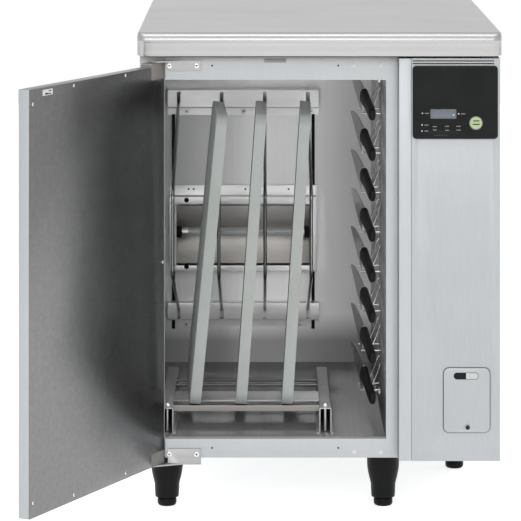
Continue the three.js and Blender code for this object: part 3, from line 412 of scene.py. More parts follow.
class Paint(Nodes):
    """One material and its node tree."""

    def __init__(self, name):
        self.material = bpy.data.materials.new(name)
        self.material.use_nodes = True
        super().__init__(self.material.node_tree)

    def place(self, turn=(0, 0, 0), scale=(1, 1, 1)):
        """The object's own coordinates, turned and scaled."""
        own = self.node("ShaderNodeTexCoord", output="Object")
        return self.node("ShaderNodeMapping", None, {"Vector": own, "Rotation": turn, "Scale": scale})

    def noise(self, where, scale, detail=2.0, roughness=0.5):
        sockets = {"Vector": where, "Scale": scale, "Detail": detail, "Roughness": roughness}
        return self.node("ShaderNodeTexNoise", None, sockets)

    def height(self):
        """How high a point of the object lies."""
        return self.node("ShaderNodeSeparateXYZ", None, {"Vector": self.place()}, output="Z")

    def mix(self, share, first, second):
        """A colour between two colours, through the Mix node's colour sockets."""
        return self.node("ShaderNodeMix", {"data_type": "RGBA"}, {0: share, 6: first, 7: second}, output=2)

    def bump(self, height, strength, depth=GRAIN_DEPTH):
        return self.node("ShaderNodeBump", None, {"Height": height, "Strength": strength, "Distance": depth})

    def surface(self, **values):
        """A principled surface, from the values of its sockets, named with _ for a space."""
        sockets = {name.replace("_", " "): value for name, value in values.items()}
        shader = self.node("ShaderNodeBsdfPrincipled", None, sockets)
        self.node("ShaderNodeOutputMaterial", None, {"Surface": shader})
        return self.material


def grey(level, tint=(1, 1, 1)):
    """A grey as a colour, warm or cool by its tint."""
    return (level * tint[0], level * tint[1], level * tint[2], 1)


COOL = (0.96, 1.0, 1.03)
WARM = (1.04, 1.0, 0.95)


def coated_sheet(name, dark, light):
    """The body's pale sheet: a fine orange peel and faint cloudiness."""
    paint = Paint(name)
    where = paint.place()
    peel = paint.noise(where, PEEL, 3)
    cloud = paint.noise(where, COAT_CLOUD, 4, 0.6)
    grain = paint.noise(paint.place(scale=(1, 1, 0.04)), COAT_GRAIN, 2)
    colour = paint.mix(cloud.between(0.3, 0.7), grey(dark, COOL), grey(light, COOL))
    return paint.surface(
        Base_Color=paint.mix(grain.between(0.2, 0.8) * 0.35, colour, grey(light + 0.08, COOL)),
        Metallic=0.25,
        Roughness=cloud.between(0.2, 0.8) * 0.1 + 0.36,
        Normal=paint.bump(peel + grain * 0.5, 0.06),
    )


def brushed_steel(name, dark, light, roughness, turn=(0, 0, 0), along=ALONG_X, bump=0.10, metallic=1.0,
                  shine=0.5, foot=None):
    """Brushed stainless: long streaks, a cloudy sheen and a few deeper scratches along the brushing.

    A foot is painted shade: the height up to which the steel is darker, the height where that has faded out,
    and its tone.
    """
    paint = Paint(name)
    where = paint.place(turn=turn, scale=along)
    fine = paint.noise(where, BRUSH_STREAK * 3, 2)
    broad = paint.noise(where, BRUSH_STREAK * 0.25, 3, 0.6)
    cloud = paint.noise(paint.place(), BRUSH_CLOUD, 3, 0.55)
    scratch = paint.noise(where, BRUSH_STREAK, 1).between(0.66, 0.74)
    mixed = paint.mix(fine.between(0.25, 0.75) * 0.5 + broad.between(0.3, 0.7) * 0.5, dark, light)
    colour = paint.mix(scratch * 0.25, mixed, light)
    # A foot paints shade: a plain darker tone low on the steel that fades out upwards
    if foot:
        low, high, tone = foot
        colour = paint.mix(paint.height().between(low, high), grey(tone), colour)
    return paint.surface(
        Base_Color=colour,
        Metallic=metallic,
        Specular_IOR_Level=shine,
        Roughness=cloud.between(0.25, 0.75) * 0.08 + fine * 0.10 + roughness,
        Normal=paint.bump(fine + broad * 0.6 + scratch * 0.5, bump),
    )


def polished_steel(name, dark, light):
    """Bright drawn wire and turned heads, a little cloudy."""
    paint = Paint(name)
    draw = paint.noise(paint.place(), POLISH_DRAW, 3)
    cloud = paint.noise(paint.place(), POLISH_CLOUD, 2)
    return paint.surface(
        Base_Color=paint.mix(cloud, grey(dark), grey(light)),
        Metallic=1.0,
        Roughness=draw * 0.06 + 0.13,
        Normal=paint.bump(draw, 0.04),
    )


def moulded_plastic(name, dark, light, roughness, grain=PLASTIC_SPARK, bump=0.12, shine=0.5):
    """Moulded plastic with a fine spark texture and faint flow marks."""
    paint = Paint(name)
    where = paint.place()
    spark = paint.noise(where, grain, 2)
    flow = paint.noise(where, PLASTIC_FLOW, 3, 0.6)
    return paint.surface(
        Base_Color=paint.mix(flow.between(0.3, 0.7), dark, light),
        Specular_IOR_Level=shine,
        Roughness=flow.between(0.2, 0.8) * 0.1 + roughness,
        Normal=paint.bump(spark, bump),
    )


def board_plastic():
    """Grey-green cutting board: a pebbled face, faint knife marks along it and a cloudy tone."""
    paint = Paint("board_plastic")
    where = paint.place()
    pebble = paint.noise(where, BOARD_PEBBLE, 2)
    cloud = paint.noise(where, BOARD_CLOUD, 4, 0.6)
    cuts = paint.noise(paint.place(turn=(0.35, 0, 0), scale=(1, 0.05, 1)), BOARD_CUT, 1).between(0.68, 0.72)
    colour = paint.mix(cloud.between(0.3, 0.7), (0.37, 0.395, 0.38, 1), (0.44, 0.465, 0.45, 1))
    return paint.surface(
        Base_Color=paint.mix(cuts * 0.3, colour, (0.58, 0.6, 0.58, 1)),
        Roughness=cloud * 0.12 + 0.42,
        Normal=paint.bump(pebble - cuts * 0.6, 0.14),
    )


def plain(name, colour, roughness, **more):
    """A small part's finish: one tone with a little grain."""
    paint = Paint(name)
    grain = paint.noise(paint.place(), PLAIN_GRAIN, 2)
    shade = tuple(c * 0.88 for c in colour[:3]) + (1,)
    return paint.surface(
        Base_Color=paint.mix(grain, shade, colour),
        Roughness=grain * 0.06 + roughness,
        Normal=paint.bump(grain, 0.05),
        **more,
    )


def foam():
    """Yellowish insulating foam with coarse cells."""
    paint = Paint("foam")
    cells = paint.noise(paint.place(), FOAM_CELL, 4, 0.7)
    return paint.surface(
        Base_Color=paint.mix(cells, (0.55, 0.46, 0.26, 1), (0.72, 0.63, 0.41, 1)),
        Roughness=0.9,
        Normal=paint.bump(cells, 0.5, FOAM_DEPTH),
    )


def timber():
    """The worktop's brown core, with its grain along the front."""
    paint = Paint("timber")
    rings = paint.noise(paint.place(scale=(0.05, 1, 1)), TIMBER_RING, 4, 0.6)
    return paint.surface(
        Base_Color=paint.mix(rings.between(0.3, 0.7), (0.30, 0.19, 0.10, 1), (0.47, 0.33, 0.19, 1)),
        Roughness=rings * 0.2 + 0.6,
        Normal=paint.bump(rings, 0.2, TIMBER_DEPTH),
    )


def lamp_glass():
    """Clear tube glass with a faint haze along it."""
    paint = Paint("lamp_glass")
    haze = paint.noise(paint.place(scale=(0.1, 1, 1)), GLASS_HAZE, 2)
    return paint.surface(
        Base_Color=paint.mix(haze, (0.80, 0.83, 0.86, 1), (0.92, 0.94, 0.96, 1)),
        Roughness=haze * 0.05 + 0.04,
        Alpha=haze * 0.15 + 0.35,
        Coat_Weight=0.6,
    )


def ground_blade():
    """Ground blade steel, streaked across its width."""
    paint = Paint("ground_blade")
    where = paint.place(turn=(0.12, 0, 0), scale=(1, 1, 0.03))
    grind = paint.noise(where, BLADE_GRIND, 2)
    return paint.surface(
        Base_Color=paint.mix(grind, grey(0.26), grey(0.38)),
        Metallic=1.0,
        Roughness=grind * 0.12 + 0.2,
        Normal=paint.bump(grind, 0.08),
    )


# Finishes

DOOR_TURN = math.radians(frame["joints"][0]["range_deg"][1])
COATED = coated_sheet("coated_sheet", 0.43, 0.47)
# A lighter copy of the coated sheet for the frame and pillar: painted light against the shade under the
# worktop
LIT_FRAME_SHEET = coated_sheet("frame_sheet", 0.49, 0.53)
# A darker copy of the coated sheet for the door skin's faces that look up: painted shade
DOOR_TOP_SHADE = coated_sheet("edge_sheet", 0.17, 0.20)
TOP_STEEL = brushed_steel("worktop_steel", grey(0.34), grey(0.42), 0.26)
# The liner steel is painted darker at its foot, as painted shade
LINER_STEEL = brushed_steel("liner_steel", grey(0.90), grey(0.97), 0.30, along=ALONG_Z, bump=0.05,
                            metallic=0.85, shine=0.3, foot=LINER_PAINTED_SHADE)
# The liner floor is a darker copy of the liner steel: painted shade on the chamber's floor
LINER_FLOOR_SHADE = brushed_steel("liner_floor_steel", grey(0.40), grey(0.50), 0.10, along=ALONG_Y, bump=0.03,
                            metallic=0.6, shine=0.4)
DOOR_STEEL = brushed_steel("door_liner_steel", grey(0.15), grey(0.21), 0.18, turn=(0, 0, DOOR_TURN))
SATIN = brushed_steel("satin_steel", grey(0.78), grey(0.90), 0.30)
HINGE_STEEL = brushed_steel("hinge_steel", grey(0.31), grey(0.37), 0.34)
CHANNEL_STEEL = brushed_steel("channel_steel", grey(0.50), grey(0.60), 0.42, metallic=0.5)
BAR_STEEL = brushed_steel("bar_steel", grey(0.17, WARM), grey(0.24, WARM), 0.30)
REFLECTOR = brushed_steel("reflector_steel", grey(0.52, WARM), grey(0.62, WARM), 0.30, bump=0.05,
                          metallic=0.7)
POLISHED = polished_steel("polished_steel", 0.62, 0.74)
# A darker copy of the polished steel for the divider bows: painted shade for the dark they mirror
SHADED_POLISHED = polished_steel("dark_polished_steel", 0.26, 0.38)
FOAM = foam()
TIMBER = timber()
BLACK = moulded_plastic("black_plastic", grey(0.006, COOL), grey(0.010, COOL), 0.36, shine=0.12)
CAP_PLASTIC = moulded_plastic("cap_plastic", grey(0.22, WARM), grey(0.27, WARM), 0.6, shine=0.2)
GREY_PLASTIC = moulded_plastic("grey_plastic", grey(0.30), grey(0.35), 0.45)
PANEL_BLACK = moulded_plastic("panel_black", grey(0.011, COOL), grey(0.015, COOL), 0.28, bump=0.05,
                              shine=0.10)
KEY_PLASTIC = moulded_plastic("key_plastic", grey(0.014, COOL), grey(0.020, COOL), 0.36, shine=0.10)
GREEN = plain("button_green", (0.45, 0.55, 0.29, 1), 0.35, Coat_Weight=0.2)
LCD = plain("display_glass", (0.13, 0.155, 0.18, 1), 0.2, Coat_Weight=0.3)
CIRCUIT = plain("circuit_board", (0.05, 0.20, 0.09, 1), 0.5)
PALE = plain("pale_print", (0.62, 0.64, 0.64, 1), 0.5)
FAINT = plain("faint_print", (0.22, 0.23, 0.24, 1), 0.5)
# A near black: print, dark screw heads, and painted shade in screw recesses, pin holes and notches
DARK = plain("dark_gap", (0.01, 0.01, 0.01, 1), 0.8)
WHITE = plain("white_plastic", (0.75, 0.76, 0.76, 1), 0.4)
BOARD = board_plastic()
GLASS = lamp_glass()
BLADE = ground_blade()
HANDLE = moulded_plastic("knife_handle", grey(0.005), grey(0.009), 0.42, grain=HANDLE_SPARK, bump=0.2,
                         shine=0.15)


# Mesh helpers

def link(name, mesh):
    """A new object in the scene, from its mesh."""
    made = bpy.data.objects.new(name, mesh)
    bpy.context.scene.collection.objects.link(made)
    return made


def smooth(obj, angle=LOFT_ANGLE):
    """Shades a piece smooth, apart from its sharp edges."""
    obj.data.shade_smooth()
    obj.data.set_sharp_from_angle(angle=angle)
    return obj


def baked(obj):
    """Turns the modifiers' result into the piece's own mesh."""
    graph = bpy.context.evaluated_depsgraph_get()
    mesh = bpy.data.meshes.new_from_object(obj.evaluated_get(graph), depsgraph=graph)
    obj.modifiers.clear()
    obj.data = mesh
    return obj


def fitted(obj, body, nodes=()):
    """Rides a finished piece on its body, in place of the nodes that it stands for."""
    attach(obj, body)
    if nodes:
        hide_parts(*nodes)
    return obj


def dressed(obj, *materials):
    """A piece with these materials and no other."""
    obj.data.materials.clear()
    for material in materials:
        obj.data.materials.append(material)
    return obj


def lofted(name, rings, caps=True):
    """A skin over closed rings of points that all have the same count."""
    shape = bmesh.new()
    made = [[shape.verts.new(point) for point in ring] for ring in rings]
    for first, second in zip(made, made[1:]):
        for i, vertex in enumerate(first):
            after = (i + 1) % len(first)
            shape.faces.new((vertex, first[after], second[after], second[i]))
    if caps:
        shape.faces.new(made[0][::-1])
        shape.faces.new(made[-1])
    bmesh.ops.recalc_face_normals(shape, faces=shape.faces)
    mesh = bpy.data.meshes.new(name)
    shape.to_mesh(mesh)
    shape.free()
    return link(name, mesh)


def corner_ring(x0, x1, y0, y1, radius, steps=CORNER_STEPS):
    """The outline of a rectangle with round corners, anticlockwise, as pairs."""
    centres = ((x1 - radius, y0 + radius), (x1 - radius, y1 - radius),
               (x0 + radius, y1 - radius), (x0 + radius, y0 + radius))
    points = []
    for quarter, (x, y) in enumerate(centres):
        for step in range(steps + 1):
            angle = (quarter - 1 + step / steps) * math.pi / 2
            points.append((x + radius * math.cos(angle), y + radius * math.sin(angle)))
    return points


def circle(radius, sides=ROUND_SIDES):
    """A circle's points round the origin, as pairs."""
    return [(radius * math.cos(2 * math.pi * i / sides), radius * math.sin(2 * math.pi * i / sides))
            for i in range(sides)]


def turned(name, centre, profile, sides=ROUND_SIDES):
    """A turned solid about a vertical axis, from pairs of radius and height."""
    rings = [[(centre[0] + x, centre[1] + y, z) for x, y in circle(radius, sides)] for radius, z in profile]
    return smooth(lofted(name, rings))


def facing_front(outline, y):
    """Pairs of x and z as points at one depth."""
    return [(x, y, z) for x, z in outline]


def softened(node, radius, material, steps=EDGE_STEPS):
    """A copy of a node with its edges rounded, in the node's place."""
    mesh = frame["nodes"][node].data.copy()
    shape = bmesh.new()
    shape.from_mesh(mesh)
    bmesh.ops.remove_doubles(shape, verts=shape.verts, dist=WELD)
    shape.to_mesh(mesh)
    shape.free()
    obj = link(node + "_finish", mesh)
    bevel = obj.modifiers.new("edge", "BEVEL")
    bevel.width = radius
    bevel.segments = steps
    bevel.limit_method = "ANGLE"
    bevel.angle_limit = BEVEL_ANGLE
    bevel.use_clamp_overlap = True
    baked(obj)
    dressed(obj, material)
    smooth(obj, EDGED_ANGLE)
    return fitted(obj, frame["nodes"][node]["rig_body"], [node])


def folded(line, thickness, bend):
    """The closed section of a bent sheet, from the corners of its middle line as pairs."""
    line = [Vector(point) for point in line]
    points = [line[0]]
    for before, corner, after in zip(line, line[1:], line[2:]):
        to_before = (before - corner).normalized()
        to_after = (after - corner).normalized()
        reach = bend / math.tan(to_before.angle(to_after) / 2)
        start, end = corner + to_before * reach, corner + to_after * reach
        for i in range(BEND_STEPS + 1):
            share = i / BEND_STEPS
            points.append(start * (1 - share) ** 2 + corner * 2 * share * (1 - share) + end * share ** 2)
    points.append(line[-1])
    sides = ([], [])
    for i, point in enumerate(points):
        along = (points[min(i + 1, len(points) - 1)] - points[max(i - 1, 0)]).normalized()
        across = Vector((-along.y, along.x)) * thickness / 2
        sides[0].append(point + across)
        sides[1].append(point - across)
    return sides[0] + sides[1][::-1]


def sheet_along_x(name, line, thickness, bend, x0, x1):
    """A bent sheet that runs across the cabinet; its line is pairs of y and z."""
    section = folded(line, thickness, bend)
    return smooth(lofted(name, [[(x, y, z) for y, z in section] for x in (x0, x1)]))


def sheet_along_y(name, line, thickness, bend, y0, y1):
    """A bent sheet that runs from front to back; its line is pairs of x and z."""
    section = folded(line, thickness, bend)
    return smooth(lofted(name, [[(x, y, z) for x, z in section] for y in (y0, y1)]))


def joined(name, pieces):
    """Several pieces as one, with their materials kept."""
    first = pieces[0]
    with bpy.context.temp_override(active_object=first, selected_editable_objects=pieces):
        bpy.ops.object.join()
    first.name = name
    return first


# Geometry trees

class Recipe(Nodes):
    """A geometry tree with named inputs."""

    KINDS = {float: "NodeSocketFloat", int: "NodeSocketInt", bpy.types.Material: "NodeSocketMaterial",
             bpy.types.Object: "NodeSocketObject"}

    def __init__(self, name, **inputs):
        super().__init__(bpy.data.node_groups.new(name, "GeometryNodeTree"))
        face = self.tree.interface
        face.new_socket("Geometry", in_out="INPUT", socket_type="NodeSocketGeometry")
        self.values = inputs
        self.sockets = {}
        for label, value in inputs.items():
            self.sockets[label] = face.new_socket(label, in_out="INPUT", socket_type=self.KINDS[type(value)])
        face.new_socket("Geometry", in_out="OUTPUT", socket_type="NodeSocketGeometry")
        self.entry = self.tree.nodes.new("NodeGroupInput")

    def __getitem__(self, label):
        return Field(self, self.entry.outputs[label])

    def end(self, geometry, material):
        """Closes the tree: real geometry with one material."""
        real = self.node("GeometryNodeRealizeInstances", None, {"Geometry": geometry})
        set_material = self.node("GeometryNodeSetMaterial", None, {"Geometry": real, "Material": material})
        self.node("NodeGroupOutput", None, {"Geometry": set_material})
        return self

    def made_from(self, obj):
        """Runs the tree on an object and keeps the result as its mesh."""
        modifier = obj.modifiers.new("recipe", "NODES")
        modifier.node_group = self.tree
        for label, value in self.values.items():
            modifier[self.sockets[label].identifier] = value
        return baked(obj)


def bent_wires(name, lines, radius, bend, material):
    """Round wires along lines of corners, each bent with one radius."""
    mesh = bpy.data.meshes.new(name)
    points = [tuple(point) for line in lines for point in line]
    edges, start = [], 0
    for line in lines:
        edges += [(start + i, start + i + 1) for i in range(len(line) - 1)]
        start += len(line)
    mesh.from_pydata(points, edges, [])
    recipe = Recipe(name, Radius=radius, Bend=bend, Sides=WIRE_SIDES, Finish=material)
    curve = recipe.node("GeometryNodeMeshToCurve", None, {"Mesh": recipe["Geometry"]})
    if bend:
        fillet = {"Curve": curve, "Radius": recipe["Bend"], "Count": WIRE_BEND_STEPS, "Limit Radius": True}
        curve = recipe.node("GeometryNodeFilletCurve", {"mode": "POLY"}, fillet)
    ring = recipe.node("GeometryNodeCurvePrimitiveCircle", None,
                       {"Resolution": recipe["Sides"], "Radius": recipe["Radius"]})
    tube = recipe.node("GeometryNodeCurveToMesh", None,
                       {"Curve": curve, "Profile Curve": ring, "Fill Caps": True})
    recipe.end(tube, recipe["Finish"])
    return smooth(recipe.made_from(link(name, mesh)), WIRE_ANGLE)


def copies(name, pattern, places, material):
    """Copies of a pattern, whose back is at z 0, at places given as pairs of point and facing direction."""
    mesh = bpy.data.meshes.new(name)
    mesh.from_pydata([tuple(point) for point, _ in places], [], [])
    facing = mesh.attributes.new("facing", "FLOAT_VECTOR", "POINT")
    for row, (_, direction) in zip(facing.data, places):
        row.vector = direction
    recipe = Recipe(name, Pattern=pattern, Finish=material)
    toward = recipe.node("GeometryNodeInputNamedAttribute", {"data_type": "FLOAT_VECTOR"}, {"Name": "facing"})
    turn = recipe.node("FunctionNodeAlignRotationToVector", {"axis": "Z"}, {"Vector": toward})
    shape = recipe.node("GeometryNodeObjectInfo", None, {"Object": recipe["Pattern"]}, output="Geometry")
    spread = recipe.node("GeometryNodeInstanceOnPoints", None,
                         {"Points": recipe["Geometry"], "Instance": shape, "Rotation": turn})
    recipe.end(spread, recipe["Finish"])
    obj = recipe.made_from(link(name, mesh))
    bpy.data.objects.remove(pattern)
    return smooth(obj)


def dome(radius, rise):
    """A screw's head: a low dome on a short rim."""
    rim = rise * HEAD_RIM_SHARE
    profile = [(radius, 0), (radius, rim)]
    for i in range(1, HEAD_STEPS):
        angle = math.pi / 2 * i / HEAD_STEPS
        profile.append((radius * math.cos(angle), rim + (rise - rim) * math.sin(angle)))
    return turned("head", (0, 0), profile, HEAD_SIDES)


def cross(radius, rise):
    """The recess of a cross-head screw, as a thin dark cross on the dome: painted shade where the recess is.
    """
    arm, half = radius * RECESS_SHARE, radius * RECESS_ARM_SHARE
    outline = [(arm, half), (half, half), (half, arm), (-half, arm), (-half, half), (-arm, half),
               (-arm, -half), (-half, -half), (-half, -arm), (half, -arm), (half, -half), (arm, -half)]
    heights = (rise * RECESS_DEPTH_SHARE, rise + PROUD)
    return lofted("cross", [[(x, y, z) for x, y in outline] for z in heights])


def screws(name, places, body, head=SATIN, mark=DARK, radius=SCREW_HEAD, rise=SCREW_RISE):
    """Cross-head screws as one piece."""
    heads = copies(name, dome(radius, rise), places, head)
    # The marks are painted shade in the screws' recesses
    marks = copies(name + "_marks", cross(radius, rise), places, mark)
    return fitted(joined(name, [heads, marks]), body)


def plugs(name, places, body, material, radius, rise):
    """Low round plugs or pressed marks as one piece."""
    return fitted(copies(name, dome(radius, rise), places, material), body)


FRONT = Vector((0, -1, 0))


def on_front(y, pairs):
    """Places on a face that looks to the front, from pairs of x and z."""
    return [((x, y, z), FRONT) for x, z in pairs]


# Plain shapes

def block(name, low, high, edge=PLATE_EDGE, steps=EDGE_STEPS):
    """A box with rounded edges."""
    shape = bmesh.new()
    bmesh.ops.create_cube(shape, size=1)
    for vertex in shape.verts:
        for axis in range(3):
            vertex.co[axis] = high[axis] if vertex.co[axis] > 0 else low[axis]
    if edge:
        bmesh.ops.bevel(shape, geom=shape.edges[:], offset=edge, segments=steps, affect="EDGES", profile=0.5)
    mesh = bpy.data.meshes.new(name)
    shape.to_mesh(mesh)
    shape.free()
    return smooth(link(name, mesh), EDGED_ANGLE)


def pierced(obj, cutters):
    """Cuts other shapes out of a piece and removes them."""
    for cutter in cutters:
        modifier = obj.modifiers.new("hole", "BOOLEAN")
        modifier.operation = "DIFFERENCE"
        modifier.solver = "EXACT"
        modifier.object = cutter
    baked(obj)
    for cutter in cutters:
        bpy.data.objects.remove(cutter)
    return smooth(obj)


def capsule(x0, x1, z0, z1):
    """The outline of a slot with round ends, as pairs of x and z."""
    radius = min(x1 - x0, z1 - z0) / 2
    return corner_ring(x0, x1, z0, z1, radius * ROUND_SHARE, CAPSULE_STEPS)


# Worktop

def worktop_pan():
    """A pressed pan with a round front edge, crisp sides and a lip turned in below."""
    low, high = span("worktop")

    def ring(out, drop, corner=TOP_CORNER):
        """The pan's outline; out is the way in from the front, and the sides keep their own smaller edge."""
        side = out * TOP_SIDE_EDGE / TOP_EDGE
        radius = max(corner - out, PROUD)
        corners = corner_ring(low.x + side, high.x - side, low.y + out, high.y - side, radius)
        return [(x, y, high.z - drop) for x, y in corners]

    def inner(inset, z):
        """The outline at a height, with the same inset on all four sides."""
        radius = TOP_CORNER - inset
        corners = corner_ring(low.x + inset, high.x - inset, low.y + inset, high.y - inset, radius)
        return [(x, y, z) for x, y in corners]

    quarter = [math.pi / 2 * i / TOP_STEPS for i in range(TOP_STEPS + 1)]
    skin = TOP_RECESS + TOP_SHEET
    rings = [ring(TOP_EDGE, TOP_SHEET), inner(skin, high.z - TOP_EDGE), inner(skin, low.z + TOP_LIP)]
    rings += [inner(TOP_RECESS + TOP_SHEET * (1 + math.cos(a)) / 2, low.z + TOP_LIP * (1 - math.sin(a)) / 2)
              for a in (math.pi * i / TOP_STEPS for i in range(1, TOP_STEPS))]
    rings += [ring(TOP_RECESS, high.z - low.z - TOP_LIP), ring(TOP_RECESS, TOP_NOSE + TOP_RECESS)]
    rings += [ring(TOP_RECESS * inward, TOP_NOSE + TOP_RECESS * down) for inward, down in TOP_TUCKS]
    rings += [ring(TOP_EDGE * (1 - math.cos(a)), TOP_EDGE * (1 - math.sin(a))) for a in quarter]
    rings.append(ring(TOP_EDGE + TOP_SHEET, 0))
    obj = dressed(smooth(lofted("worktop_pan", rings)), TOP_STEEL)
    fitted(obj, "cabinet", ["worktop"])


def worktop_core():
    """The timber under the pan, kept clear of its corners and its lower edge."""
    low, high = span("worktop_core")
    margin = Vector((CORE_INSET, CORE_INSET, 0))
    core = block("worktop_core_finish", low + margin + Vector((0, 0, CORE_RAISED)), high - margin)
    fitted(dressed(core, TIMBER), "cabinet", ["worktop_core"])


# Body

def by_facing(obj, material, upward):
    """Gives the faces of a sheet that look up a darker material of their own: painted shade."""
    dressed(obj, material, upward)
    for face in obj.data.polygons:
        face.material_index = int(face.normal.z > UPWARD)


def body_shells():
    """The bent sheets of the body, and the liner, whose floor has a darker copy of its steel as painted
    shade.
    """
    # The frame and pillar take the lighter copy of the coated sheet: painted light
    for node, material in (("front_frame", LIT_FRAME_SHEET), ("pillar", LIT_FRAME_SHEET), ("front_panel", COATED),
                           ("outer_casing", COATED), ("machine_casing", COATED)):
        softened(node, SHEET_EDGE, material)
    # The liner's faces that look up take the darker copy: painted shade
    by_facing(softened("inner_liner", SHEET_EDGE, LINER_STEEL), LINER_STEEL, LINER_FLOOR_SHADE)
    softened("door_switch", FITTING_EDGE, GREY_PLASTIC)


def rail_fasteners():
    """The hinge plates' screws, the pin holes and the plugs in the rails above and below the opening."""
    front = span("front_frame")[0].y

    def in_rails(row, low, y=front):
        """A row of places in the upper rail, and the same row in the lower one."""
        return on_front(y, [(x, z) for z in (RAIL_TOP, low) for x in row])

    heads = in_rails(RAIL_SCREWS, RAIL_BOTTOM, front - BRACKET_SHEET)
    screws("rail_screws", heads, "cabinet", POLISHED)
    # The pin holes are flat dark discs: painted shade where the holes are
    holes = in_rails(RAIL_HOLES, RAIL_LOW_HOLE)
    plugs("rail_holes", holes, "cabinet", DARK, PIN_HOLE, PROUD)
    caps = in_rails(RAIL_PLUGS, RAIL_LOW_PLUG)
    plugs("rail_plugs", caps, "cabinet", WHITE, RAIL_PLUG, RAIL_PLUG_RISE)


# Controls

def controls():
    """The black panel with its window, keys and button, and the switch below with its cover."""
    softened("control_panel", PANEL_EDGE, PANEL_BLACK)
    softened("power_cover", MOULDED_EDGE, COATED)
    softened("switch_box", PLATE_EDGE, GREY_PLASTIC)
    softened("power_switch", FITTING_EDGE, BLACK)
    softened("display", FINE_EDGE, LCD)
    for i, _ in enumerate(KEY_STROKES):
        softened(f"key_{i + 1}", FITTING_EDGE, KEY_PLASTIC)
    start_button()
    panel_print()
    cover_marks()


def start_button():
    """A round button with a flange behind, a rounded edge and a shallow dish."""
    low, high = span("start_button")
    centre = (low + high) / 2
    flange = high.x - centre.x
    shoulder = BUTTON_RADIUS - BUTTON_EDGE
    back = low.y + BUTTON_FLANGE
    profile = [(flange, high.y), (flange, back), (BUTTON_RADIUS, back)]
    profile += [(shoulder + BUTTON_EDGE * math.cos(a), low.y + BUTTON_EDGE * (1 - math.sin(a)))
                for a in (math.pi / 2 * i / BUTTON_EDGE_STEPS for i in range(BUTTON_EDGE_STEPS + 1))]
    profile += [(BUTTON_RADIUS * share, low.y + BUTTON_DISH * (1 - share)) for share in DISH_SHARES]
    rings = [[(centre.x + x, y, centre.z + z) for x, z in circle(radius)] for radius, y in profile]
    obj = dressed(smooth(lofted("start_button_cap", rings)), GREEN)
    fitted(obj, "start_button", ["start_button"])


def outline_strip(name, low, high, width, radius, y, material, body):
    """A thin printed line round a rectangle on the front."""
    def ring(inset, depth):
        """The rectangle's outline, drawn in by an inset, at a depth."""
        outline = corner_ring(low.x + inset, high.x - inset, low.z + inset, high.z - inset, radius - inset)
        return facing_front(outline, depth)

    rings = [ring(0, y), ring(0, y - PROUD), ring(width, y - PROUD), ring(width, y)]
    obj = lofted(name, rings, caps=False)
    shape = bmesh.new()
    shape.from_mesh(obj.data)
    count = len(rings[0])
    corners = list(shape.verts)
    outer, inner = corners[:count], corners[-count:]
    for i in range(count):
        after = (i + 1) % count
        shape.faces.new((outer[i], outer[after], inner[after], inner[i]))
    bmesh.ops.recalc_face_normals(shape, faces=shape.faces)
    shape.to_mesh(obj.data)
    shape.free()
    return fitted(dressed(obj, material), body)


def strokes(name, marks, y, depth, material, body):
    """Short printed dashes, from the two ends and the height of each."""
    half = STROKE / 2
    bars = [dressed(block("stroke", (x0, y - PROUD, z - half), (x1, y + depth, z + half), 0), material)
            for x0, x1, z in marks]
    return fitted(joined(name, bars), body)


def panel_print():
    """The panel's lights, dots and dashes, and the rims of its window and button."""
    face = span("control_panel")[0].y
    plugs("panel_lights", on_front(face, PANEL_LIGHTS), "cabinet", PALE, PANEL_LIGHT, PROUD)
    plugs("panel_dots", on_front(face, PANEL_DOTS), "cabinet", FAINT, PANEL_DOT, PROUD)
    strokes("panel_strokes", PANEL_STROKES, face, 0, FAINT, "cabinet")
    for i, marks in enumerate(KEY_STROKES):
        key = f"key_{i + 1}"
        strokes(key + "_strokes", marks, span(key)[0].y, 0, FAINT, key)
    low, high = span("start_button")
    strokes("button_strokes", BUTTON_STROKES, low.y, BUTTON_DISH, PANEL_BLACK, "start_button")
    window_low, window_high = span("display")
    plugs("display_spot", on_front(window_low.y, [DISPLAY_SPOT]), "cabinet", PALE, PANEL_LIGHT, PROUD)
    rim = Vector((DISPLAY_RIM, 0, DISPLAY_RIM))
    outline_strip("display_rim", window_low - rim, window_high + rim, DISPLAY_RIM * RIM_LINE_SHARE,
                  DISPLAY_CORNER, face, FAINT, "cabinet")
    centre = (low + high) / 2
    radius = BUTTON_RADIUS + BUTTON_RING
    half = Vector((radius, 0, radius))
    outline_strip("button_ring", centre - half, centre + half, BUTTON_RING * RIM_LINE_SHARE,
                  radius * ROUND_SHARE, face, FAINT, "cabinet")


def cover_marks():
    """The cover's pill in two tones with its line, and the notch at its foot."""
    face = span("power_cover")[0].y
    x0, x1, z0, z1 = COVER_PILL
    middle = (x0 + x1) / 2
    edge = (z1 - z0) / 2

    def half_pill(name, left, right, material):
        """The pill's part between two sides, as a thin print."""
        outline = [(min(max(x, left), right), z) for x, z in capsule(x0, x1, z0, z1)]
        rings = [facing_front(outline, face), facing_front(outline, face - PROUD)]
        return fitted(dressed(lofted(name, rings), material), "power_cover")

    half_pill("cover_mark_dark", x0, middle, PANEL_BLACK)
    half_pill("cover_mark_pale", middle, x1, PALE)
    rim = Vector((COVER_PILL_RIM, 0, COVER_PILL_RIM))
    outline_strip("cover_mark_line", Vector((x0, 0, z0)) - rim, Vector((x1, 0, z1)) + rim, COVER_PILL_RIM,
                  edge + COVER_PILL_RIM * PILL_ROUND_SHARE, face, PANEL_BLACK, "power_cover")
    # The notch is a flat dark disc: painted shade in its hollow
    notch = on_front(face, [COVER_NOTCH])
    plugs("cover_notch", notch, "power_cover", DARK, COVER_NOTCH_RADIUS, PROUD)


# Legs

